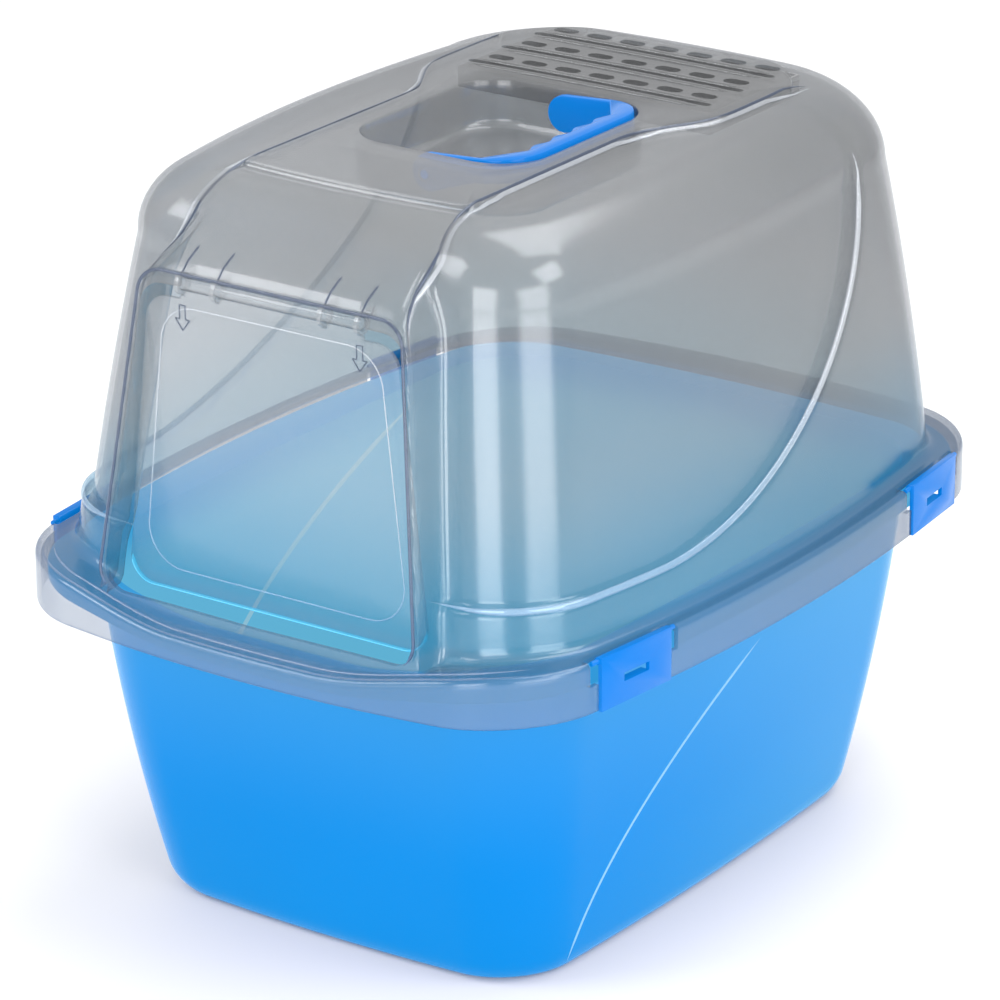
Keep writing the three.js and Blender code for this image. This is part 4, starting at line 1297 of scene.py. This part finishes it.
        edge = 0.003
        if inset == 0.0:
            skirt(SKIRT_BOTTOM, 0.0007)
            skirt(SKIRT_BOTTOM + 0.0007, 0.0)
        else:
            skirt(SKIRT_BOTTOM - 0.006, 0.0)
            skirt(SKIRT_BOTTOM, 0.0)
        top = LEDGE_TOP - inset
        for z in np.linspace(SKIRT_BOTTOM + 0.004, top - edge, 6):
            skirt(z, 0.0)
        for angle in np.radians([22, 45, 67, 90]):
            skirt(top - edge + edge * math.sin(angle), edge * (1 - math.cos(angle)))
        foot = 0.004
        outer_edge = rows[-1][0]
        inner_edge = self.wall_radius(top, inset - foot, angles, planes)
        for share in (0.3, 0.65, 0.9):
            rows.append((outer_edge * (1 - share) + inner_edge * share, top))
        for angle in np.radians([0, 30, 60]):
            reach = inset - foot * (1 - math.sin(angle))
            rows.append((self.wall_radius(top, reach, angles, planes), top + foot * (1 - math.cos(angle))))
        for z in self.wall_heights(top + foot, fine):
            rows.append((self.wall_radius(z, inset, angles, planes), z))
        radius = self.fillet - inset
        steps = 14 if fine else 8
        for i in range(steps + 1):
            angle = math.pi / 2 * i / steps
            z = self.shoulder() + radius * math.sin(angle)
            reach = inset + radius * (1 - math.cos(angle))
            fade = 1 - i / steps
            rows.append((self.wall_radius(z, reach, angles, planes, fade, self.shoulder()), z))
        roof = ROOF - inset
        panel_top = PANEL_TOP - inset
        last = rows[-1][0]
        room = 0.0 if inset == 0.0 else 0.0014
        outer_panel = np.minimum(self.panel_radius(self.panel_slope + room, angles), last - 0.0004)
        inner_panel = np.minimum(self.panel_radius(room, angles), last - 0.002)
        rows.append((last * 0.5 + outer_panel * 0.5, roof))
        for share in (0.0, 0.2, 0.5, 0.8, 1.0):
            ring = outer_panel * (1 - share) + inner_panel * share
            rows.append((ring, roof + (panel_top - roof) * smooth_step(np.array(share))))
        rim = self.recess_radius(inset + 0.002, angles)
        for share in (0.35, 0.7, 1.0):
            rows.append((inner_panel * (1 - share) + rim * share, panel_top))
        rows.append((self.recess_radius(inset + 0.0006, angles), panel_top - 0.0006))
        rows.append((self.recess_radius(inset, angles), panel_top - 0.002))
        floor = PANEL_TOP - self.recess_depth - inset
        draft = 0.0002
        for share in (0.33, 0.66, 1.0):
            deep = panel_top - 0.002 + (floor + self.recess_foot - panel_top + 0.002) * share
            rows.append((self.recess_radius(inset - draft * share, angles), deep))
        for angle in np.radians([30, 60, 90]):
            ring = self.recess_radius(inset - draft - self.recess_foot * (1 - math.cos(angle)), angles)
            rows.append((ring, floor + self.recess_foot * (1 - math.sin(angle))))
        rows.append((rows[-1][0] * 0.5, floor))
        rings = []
        for ring, z in rows:
            x = ring * np.cos(angles)
            y = self.centre_y + ring * np.sin(angles)
            height = np.broadcast_to(z, x.shape)
            rings.append(np.column_stack([x, y, height - DIP.at(x, y, height)]))
        return closed_grid(name, np.array(rings))

    # ---- cutters
    def doorway(self) -> bpy.types.Object:
        """The doorway's cutter: the frame's inner outline, right through the front."""
        loop = self.portal.frame(WALL, self.portal.sill, self.portal.top - self.portal.lintel, 0.0135)
        loop = np.vstack([loop, [[0.0, self.portal.sill - self.portal.sag]]])
        return prism("doorway", loop, 1, -SKIRT_HALF_LENGTH - 0.004, self.portal.foot_y + 0.028)

    def barrel_room(self) -> bpy.types.Object:
        """The notch in the lintel where the flap's barrel shows."""
        end, y, z = self.portal.barrel_end + 0.001, self.portal.barrel_y, self.portal.barrel_z
        low, high = z - self.portal.ring_reach - 0.008, z + 0.0038
        loop = np.array([[-end, low], [end, low], [end, high], [-end, high]])
        return prism("barrel_room", loop, 1, self.portal.front(z) - 0.006, y + 0.0034)

    def vent(self) -> list[bpy.types.Object]:
        """Cutters of the vent: three slots, and a row of oblong holes behind each."""
        low, high = ROOF - 0.006, PANEL_TOP + 0.003
        tools = []
        angle = np.linspace(-math.pi / 2, math.pi / 2, 9)
        for row in range(VENT_ROWS):
            y = VENT_FRONT + VENT_PITCH * row
            slot = Outline(self.slot_half, 0.0025, 0.0025, 0.0024, 0.0024, centre_y=y).points()
            tools.append(prism("slot", slot[::8], 2, low, high))
            for k in range(7):
                x = (k - 3) * self.hole_pitch
                cap = self.hole_radius * np.column_stack([np.cos(angle), np.sin(angle)]) + [0.0038, 0.0]
                loop = np.vstack([cap, -cap]) + [x, y + self.hole_set_back]
                tools.append(prism("hole", loop, 2, low, high))
        return tools

    def seat_cutter(self, seat: Seat, box: tuple) -> bpy.types.Object:
        """A box-shaped cutter at a latch's seat.

        Args:
            seat: which latch.
            box: its low and high x, half length and low and high z, in the latch's frame.

        Returns:
            The cutter.
        """
        low_x, high_x, half, low_z, high_z = box
        corners = [[x, y, z] for x in (low_x, high_x) for y in (-half, half) for z in (low_z, high_z)]
        piece = mesh_object("seat_cutter", turn_to_seat(np.array(corners), seat), BOX_FACES)
        outward(piece)
        return piece

    def pin_bore(self, end: int) -> bpy.types.Object:
        """The bore in one end wall of the recess for the handle's pin: 1 for the rear, -1 for the front."""
        angle = np.linspace(0.0, 2 * math.pi, 32, endpoint=False)
        bore = 0.0045
        loop = np.column_stack([bore * np.cos(angle), HANDLE_PIVOT_Z + bore * np.sin(angle)])
        near, far = sorted(self.centre_y + end * (self.recess_half_y + reach) for reach in (-0.003, 0.0022))
        return prism("bore", loop, 1, near, far)

    def build(self) -> bpy.types.Object:
        """Makes the hood: the outer skin less the inner skin, the doorway, the notches and the vent."""
        piece = self.skin("hood_body", 0.0, True)
        outward(piece)
        inner = self.skin("hood_hollow", WALL, False)
        outward(inner)
        cut(piece, inner)
        cut(piece, self.barrel_room())
        for end in (-1, 1):
            cut(piece, self.pin_bore(end))
        for seat in Seat:
            cut(piece, self.seat_cutter(seat, self.groove))
        tools = [self.doorway(), *self.vent()]
        tools += [self.seat_cutter(seat, self.notch) for seat in Seat]
        cut(piece, join_pieces("cutters", tools))
        smooth_by_angle(piece, 38.0)
        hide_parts("hood_shell")
        dress(piece, self.finishes.smoky, "hood")
        return piece

    def settle(self, body: bpy.types.Object, path: np.ndarray) -> tuple[np.ndarray, np.ndarray]:
        """The places on the hood nearest to a path, and which way the hood faces there."""
        mesh = body.data
        points = [vertex.co for vertex in mesh.vertices]
        tree = BVHTree.FromPolygons(points, [face.vertices for face in mesh.polygons])
        found = [tree.find_nearest(Vector(place)) for place in path]
        return np.array([hit[0] for hit in found]), np.array([hit[1] for hit in found])

    def panel_folds(self, body: bpy.types.Object) -> None:
        """The creases beside the sloping front panel and the raised roof panel: a dark line of painted shade
        in each, with a painted highlight line beside it.

        Args:
            body: the hood they lie on.
        """
        portal = self.portal
        pins = np.array([
            (portal.half(0.352) + 0.004, portal.front(0.352) + 0.006, 0.352),
            (portal.half(0.375) + 0.002, portal.front(0.375) + 0.004, 0.375),
            (self.panel_narrow + 0.0015, self.panel_front - 0.004, ROOF - 0.002),
            (self.panel_narrow + 0.0035, self.panel_front + 0.012, ROOF + 0.002),
            (self.panel_narrow + 0.0035, 0.016, ROOF + 0.002),
            (self.panel_wide + 0.0035, 0.058, ROOF + 0.002),
            (self.panel_wide + 0.0035, 0.150, ROOF + 0.002),
        ])
        length = np.concatenate([[0.0], np.cumsum(np.linalg.norm(np.diff(pins, axis=0), axis=1))])
        even = np.linspace(0.0, length[-1], 150)
        path = np.column_stack([np.interp(even, length, pins[:, k]) for k in range(3)])
        path = even_out(path, 9)
        for side, word in ((1, "right"), (-1, "left")):
            # A dark line of painted shade in the crease, and a painted highlight line beside it.
            for shift, wide, finish, kind in (
                (0.0, 0.0009, self.finishes.edge, "crease"), (0.0030, 0.0013, self.finishes.fold, "fold"),
            ):
                line = (path + [shift, 0.0, 0.004]) * [side, 1.0, 1.0]
                places, outs = self.settle(body, line)
                places, outs = even_out(places, 9), unit(even_out(outs, 9))
                piece = bead(f"panel_{kind}_{word}", places, outs, wide, 0.0005)
                dress(piece, finish, "hood")
        # Dark lines of painted shade up the sloping panel above each fin.
        foot = np.array([0.0, portal.barrel_y - 0.002, portal.top - 0.001])
        rise = np.array([0.0, 0.018, 0.010])
        for number, x in enumerate(portal.fins):
            line = foot + np.linspace(0.0, 1.0, 12)[:, None] * rise + [x, 0.0, 0.0]
            places, outs = self.settle(body, line)
            piece = bead(f"fin_mark_{number + 1}", places, outs, 0.0006, 0.0005)
            dress(piece, self.finishes.edge, "hood")

    def swoop_bead(self, side: int) -> bpy.types.Object:
        """The lip of the swoop, coloured as a painted highlight: down its curve, then level round the front
        corner to the portal.

        Args:
            side: 1 for +X, -1 for -X.

        Returns:
            The piece.
        """
        curve = self.swoop_curve()[14:]
        outer = -self.swoop_step / 2
        places, outs = [], []
        for y, z in curve:
            drop = max(0.0, z - self.shoulder())
            fade = 1 - math.asin(min(1.0, drop / self.fillet)) / (math.pi / 2)
            reach = self.fillet - math.sqrt(max(0.0, self.fillet**2 - drop**2))
            shape = self.wall_outline(min(z, self.shoulder()), outer * fade + reach)
            places.append([side_reach(shape.points(), y), y, z])
            outs.append([math.sqrt(max(0.05, 1 - (drop / self.fillet) ** 2)), 0.0, 0.16 + drop / self.fillet])
        level = curve[-1, 1]
        loop = self.wall_outline(level, outer).points()
        start = math.atan2(curve[-1, 0] - self.centre_y, places[-1][0])
        angles = np.linspace(start, math.radians(-64.5), 60)[1:]
        radius = polar_radius(loop, self.centre_y, angles)
        x, y = radius * np.cos(angles), self.centre_y + radius * np.sin(angles)
        places = np.vstack([places, np.column_stack([x, y, np.full_like(x, level)])])
        outs = np.vstack([outs, np.column_stack([np.cos(angles), np.sin(angles), np.full_like(x, 0.16)])])
        places[:, 0] *= side
        outs[:, 0] *= side
        piece = bead(f"swoop_lip_{'right' if side > 0 else 'left'}", places, unit(outs), 0.0021, 0.0012)
        dress(piece, self.finishes.fold, "hood")
        return piece

    def doorway_rim(self) -> bpy.types.Object:
        """The doorway's rolled edge: a dark bead of painted shade on the frame's outline, on the leaning
        front.
        """
        portal = self.portal
        loop = portal.frame(WALL / 2, portal.sill - 0.0006, portal.top - 0.0013, 0.0147)
        dense = stepped(loop[4:36], 6)
        path = np.column_stack([dense[:, 0], portal.front(dense[:, 1]) + 0.0004, dense[:, 1]])
        piece = bead("doorway_rim", path, unit(np.array([[0.0, -1.0, 0.11]]))[0], 0.0009, 0.0008)
        dress(piece, self.finishes.edge, "hood")
        return piece

    def sill_folds(self) -> None:
        """Two raised lines along the front ledge, coloured as painted highlights, which sag with it."""
        for number, inset in enumerate((0.0035, 0.0095)):
            angles = np.radians(np.linspace(-90 - 38, -90 + 38, 120))
            radius = polar_radius(skirt_outline(inset).points(), self.centre_y, angles)
            x, y = radius * np.cos(angles), self.centre_y + radius * np.sin(angles)
            z = np.full_like(x, LEDGE_TOP - (0.0004 if inset < 0.004 else 0.0))
            path = np.column_stack([x, y, z - DIP.at(x, y, z)])
            piece = bead(f"ledge_fold_{number + 1}", path, UP, 0.0008, 0.0005)
            dress(piece, self.finishes.fold, "hood")

    def vent_bars(self) -> None:
        """A low arched bar in front of each slot and behind it, which falls off as a parabola to its ends."""
        half = 0.0795
        x = np.linspace(-half, half, 60)
        for row in range(VENT_ROWS):
            for number, shift in enumerate((-0.0048, 0.0048)):
                y = VENT_FRONT + VENT_PITCH * row + shift
                z = PANEL_TOP + 0.0001 - 0.0006 * (x / half) ** 2
                path = np.column_stack([x, np.full_like(x, y), z])
                piece = bead(f"vent_bar_{row + 1}_{number + 1}", path, UP, 0.0021, 0.0012)
                dress(piece, self.finishes.smoky, "hood")

    def knuckles(self) -> bpy.types.Object:
        """The four fins that hold the flap's barrel: a ring each, hung from the sloping panel on a web."""
        portal = self.portal
        angle = np.linspace(0.0, 2 * math.pi, 33)[:-1]
        parts = []
        half, outer, inner = 0.00125, 0.0058, 0.0038
        for x in portal.fins:
            rows = []
            for radius, shift in ((outer, -half), (outer, half), (inner, half), (inner, -half)):
                y = portal.barrel_y + radius * np.cos(angle)
                z = portal.barrel_z + radius * np.sin(angle)
                rows.append(np.column_stack([np.full_like(y, x + shift), y, z]))
            parts.append(ring_grid("ring", np.array(rows)))
            outward(parts[-1])
            y0, y1 = portal.barrel_y + 0.0042, portal.barrel_y + 0.0108
            z0, z1 = portal.barrel_z + 0.002, portal.barrel_z + 0.006
            loop = np.array([[y0, z0], [y1, z0], [y1, z1], [y0, z1]])
            parts.append(prism("web", loop, 0, x - half, x + half))
        piece = join_pieces("hinge_fins", parts)
        smooth_by_angle(piece, 35.0)
        dress(piece, self.finishes.clear, "hood")
        return piece


def turn_to_seat(points: np.ndarray, seat: Seat) -> np.ndarray:
    """Moves points from a latch's own frame, x outwards from the skirt's face, to its seat on the skirt.

    Args:
        points: N by 3 places in the latch's frame.
        seat: which latch.

    Returns:
        The places on the box.
    """
    side, end = seat.value
    share = LATCH_PLACE / SKIRT_HALF_LENGTH
    lean = math.atan(2 * SKIRT_SIDE_BOW * share / SKIRT_HALF_LENGTH)
    turn = end * lean if side > 0 else math.pi - end * lean
    rotate = np.array([[math.cos(turn), -math.sin(turn), 0], [math.sin(turn), math.cos(turn), 0], [0, 0, 1]])
    reach = SKIRT_HALF_WIDTH - SKIRT_SIDE_BOW * share**2
    return points @ rotate.T + [side * reach, end * LATCH_PLACE, 0.0]


# ------------------------------------------------------------------ moving pieces
@dataclass
class Fitting:
    """A moving moulding whose CAD solid has the right shape: its edges are rounded, its skin smoothed."""

    node: str
    name: str
    body: str
    slot: str
    material: bpy.types.Material
    edge: float = 0.0006

    def build(self, nodes: dict[str, bpy.types.Object]) -> bpy.types.Object:
        """Makes the piece from a merged copy of its node.

        Args:
            nodes: the CAD nodes by name.

        Returns:
            The piece.
        """
        piece = merged_copy(nodes[self.node], self.name)
        bevel(piece, self.edge)
        smooth_by_angle(piece, 32.0)
        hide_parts(self.node)
        dress(piece, self.material, self.body)
        return piece


@dataclass
class FlapTrim:
    """What is raised on the flap: a border line of painted highlight, its lower edge lit by a painted
    emission, and a down arrow in the dark shade-line finish under each outer fin.
    """

    finishes: Finishes
    portal: Portal
    gap: float = 0.0065
    border: float = 0.011

    def on_flap(self, loop: np.ndarray) -> np.ndarray:
        """Points (x, z) put on the flap's front face."""
        return np.column_stack([loop[:, 0], np.full(len(loop), self.portal.barrel_y - 0.0014), loop[:, 1]])

    def build(self) -> None:
        """Makes the pieces, all on the flap's front face."""
        portal = self.portal
        shoulder = portal.barrel_z - 0.0084
        loop = portal.frame(self.gap + self.border, portal.sill + 0.013, shoulder - 0.004, 0.022)
        dense = dense_polygon([tuple(p) for p in loop], 5)
        border = bead("flap_border", self.on_flap(dense), FORWARD, 0.0004, 0.0003, closed=True)
        dress(border, self.finishes.fold, "flap")
        low = portal.frame(self.gap + 0.0004, portal.sill + 0.0008, shoulder, 0.014)
        dense = stepped(np.vstack([low[30:40], low[0:10]]), 8)
        path = self.on_flap(dense) + [0.0, 0.0013, 0.0]
        edge = bead("flap_lit_edge", path, FORWARD, 0.0006, 0.0014)
        dress(edge, self.finishes.lit_edge, "flap")
        shape = np.array([[-1, 0], [1, 0], [1, -4], [2.4, -4], [0, -7.2], [-2.4, -4], [-1, -4]]) * 0.0019
        for side in (-1, 1):
            at = np.array([side * 0.0565, portal.barrel_z - 0.0115])
            loop = dense_polygon([tuple(p) for p in shape + at], 8)
            name = f"flap_arrow_{'right' if side > 0 else 'left'}"
            arrow = bead(name, self.on_flap(loop), FORWARD, 0.00035, 0.00035, closed=True, sides=6)
            dress(arrow, self.finishes.edge, "flap")


@dataclass
class FilterPad:
    """The foam pad in the tray: a soft slab, fullest in the middle, with rolled edges."""

    finishes: Finishes
    columns: int = 96

    def build(self) -> bpy.types.Object:
        """Makes the pad: rings of a superellipse whose height falls off as (1 - r^6)^(1/3) to the edge."""
        low, high = (np.array(corner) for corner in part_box("air_filter"))
        centre, half = (low + high) / 2, (high - low) / 2
        angle = np.linspace(0.0, 2 * math.pi, self.columns, endpoint=False)
        square = (np.abs(np.cos(angle)) ** 10 + np.abs(np.sin(angle)) ** 10) ** (-0.1)
        share = np.sin(np.linspace(0.03, math.pi / 2, 16))
        height = (1 - share**6) ** (1 / 3)
        rings = []
        for r, h in [*zip(share, -height), *list(zip(share, height))[::-1][1:]]:
            x = centre[0] + half[0] * r * square * np.cos(angle)
            y = centre[1] + half[1] * r * square * np.sin(angle)
            rings.append(np.column_stack([x, y, np.full_like(x, centre[2] + half[2] * h)]))
        piece = closed_grid("filter_foam_pad", np.array(rings))
        outward(piece)
        smooth_by_angle(piece, 60.0)
        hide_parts("air_filter")
        dress(piece, self.finishes.foam, "filter")
        return piece


# ------------------------------------------------------------------ studio
@dataclass
class Studio:
    """A plain pale floor, soft boxes and the camera."""

    finishes: Finishes
    azimuth: float = 34.755
    elevation: float = 21.073
    distance: float = 2.873
    aim_height: float = 0.198
    lens: float = 187.7
    roll: float = -0.269

    def soft_box(self, name: str, place: tuple, aim: tuple, size: tuple, power: float) -> None:
        """Adds one area lamp.

        Args:
            name: its name.
            place: where it stands.
            aim: what it points at.
            size: its width and height.
            power: its strength in watts.
        """
        lamp = bpy.data.lights.new(name, "AREA")
        lamp.shape = "RECTANGLE"
        lamp.size, lamp.size_y = size
        lamp.energy = power
        stand = bpy.data.objects.new(name, lamp)
        stand.location = place
        stand.rotation_euler = (Vector(aim) - Vector(place)).to_track_quat("-Z", "Y").to_euler()
        bpy.context.scene.collection.objects.link(stand)

    def camera(self) -> None:
        """Sets up the camera, looking down at the doorway's corner."""
        az, el = math.radians(self.azimuth), math.radians(self.elevation)
        back = Vector((math.sin(az) * math.cos(el), -math.cos(az) * math.cos(el), math.sin(el)))
        lens = bpy.data.cameras.new("camera")
        lens.lens = self.lens
        lens.shift_x, lens.shift_y = -0.0109, 0.0005
        lens.clip_start, lens.clip_end = 0.05, 50.0
        eye = bpy.data.objects.new("camera", lens)
        eye.location = Vector((0, 0, self.aim_height)) + back * self.distance
        turn = (-back).to_track_quat("-Z", "Y")
        spin = Quaternion(Vector((0, 0, 1)), math.radians(self.roll))
        eye.rotation_euler = (turn @ spin).to_euler()
        bpy.context.scene.collection.objects.link(eye)
        bpy.context.scene.camera = eye

    def build(self) -> None:
        """Sets the floor, the world, the lamps and the camera."""
        t = np.linspace(-4.0, 4.0, 9)
        x, y = np.meshgrid(t, t)
        corners = np.column_stack([x.ravel(), y.ravel(), np.zeros(x.size)])
        i, j = np.meshgrid(np.arange(8), np.arange(8))
        first = (j * 9 + i).ravel()
        floor = mesh_object("floor", corners, np.column_stack([first, first + 1, first + 10, first + 9]))
        floor.data.materials.append(self.finishes.floor)
        world = bpy.data.worlds.new("studio")
        world.use_nodes = True
        world.node_tree.nodes["Background"].inputs["Color"].default_value = (1.0, 1.0, 1.0, 1.0)
        world.node_tree.nodes["Background"].inputs["Strength"].default_value = 0.75
        scene = bpy.context.scene
        scene.world = world
        scene.view_settings.view_transform = "Standard"
        scene.cycles.transparent_max_bounces = 32
        self.soft_box("key_box", (-1.6, -1.8, 2.2), (0, 0, 0.2), (1.6, 1.6), 34.0)
        self.soft_box("front_box", (0.75, -2.3, 0.75), (0.1, -0.1, 0.2), (1.2, 1.5), 26.0)
        self.soft_box("side_box", (2.4, -0.9, 0.75), (0.1, -0.1, 0.2), (1.4, 1.5), 24.0)
        self.soft_box("high_side_box", (2.0, 0.25, 1.9), (0, 0, 0.25), (1.2, 1.0), 16.0)
        self.soft_box("top_box", (0.3, 0.9, 2.4), (0, 0, 0.3), (1.8, 1.4), 26.0)
        self.camera()


def main() -> None:
    """Builds the litter box round the frame, piece by piece, and the studio round it."""
    logging.basicConfig(level=logging.INFO, format="%(message)s")
    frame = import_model()
    nodes = frame["nodes"]
    finishes = Finishes.make()
    pan = LitterPan(finishes)
    pan.build()
    for side in (1, -1):
        pan.side_line(side, 0.0)
        pan.side_line(side, WALL)
    hood = HoodShell(finishes)
    shell = hood.build()
    hood.panel_folds(shell)
    hood.knuckles()
    hood.swoop_bead(1)
    hood.swoop_bead(-1)
    hood.doorway_rim()
    hood.sill_folds()
    hood.vent_bars()
    FlapTrim(finishes, hood.portal).build()
    Fitting("door_flap", "flap_panel", "flap", "flap_clear", finishes.clear, 0.0005).build(nodes)
    Fitting("carry_handle", "handle_bail", "handle", "trim_blue", finishes.trim, 0.0008).build(nodes)
    Fitting("filter_tray", "tray_frame", "filter", "tray_grey", finishes.tray, 0.0004).build(nodes)
    for seat, body in zip(Seat, ("latch_fr", "latch_rr", "latch_fl", "latch_rl")):
        node = "latch_" + seat.name.lower()
        Fitting(node, node + "_moulding", body, "trim_blue", finishes.trim, 0.0005).build(nodes)
    FilterPad(finishes).build()
    Studio(finishes).build()


if __name__ == "__main__":
    main()
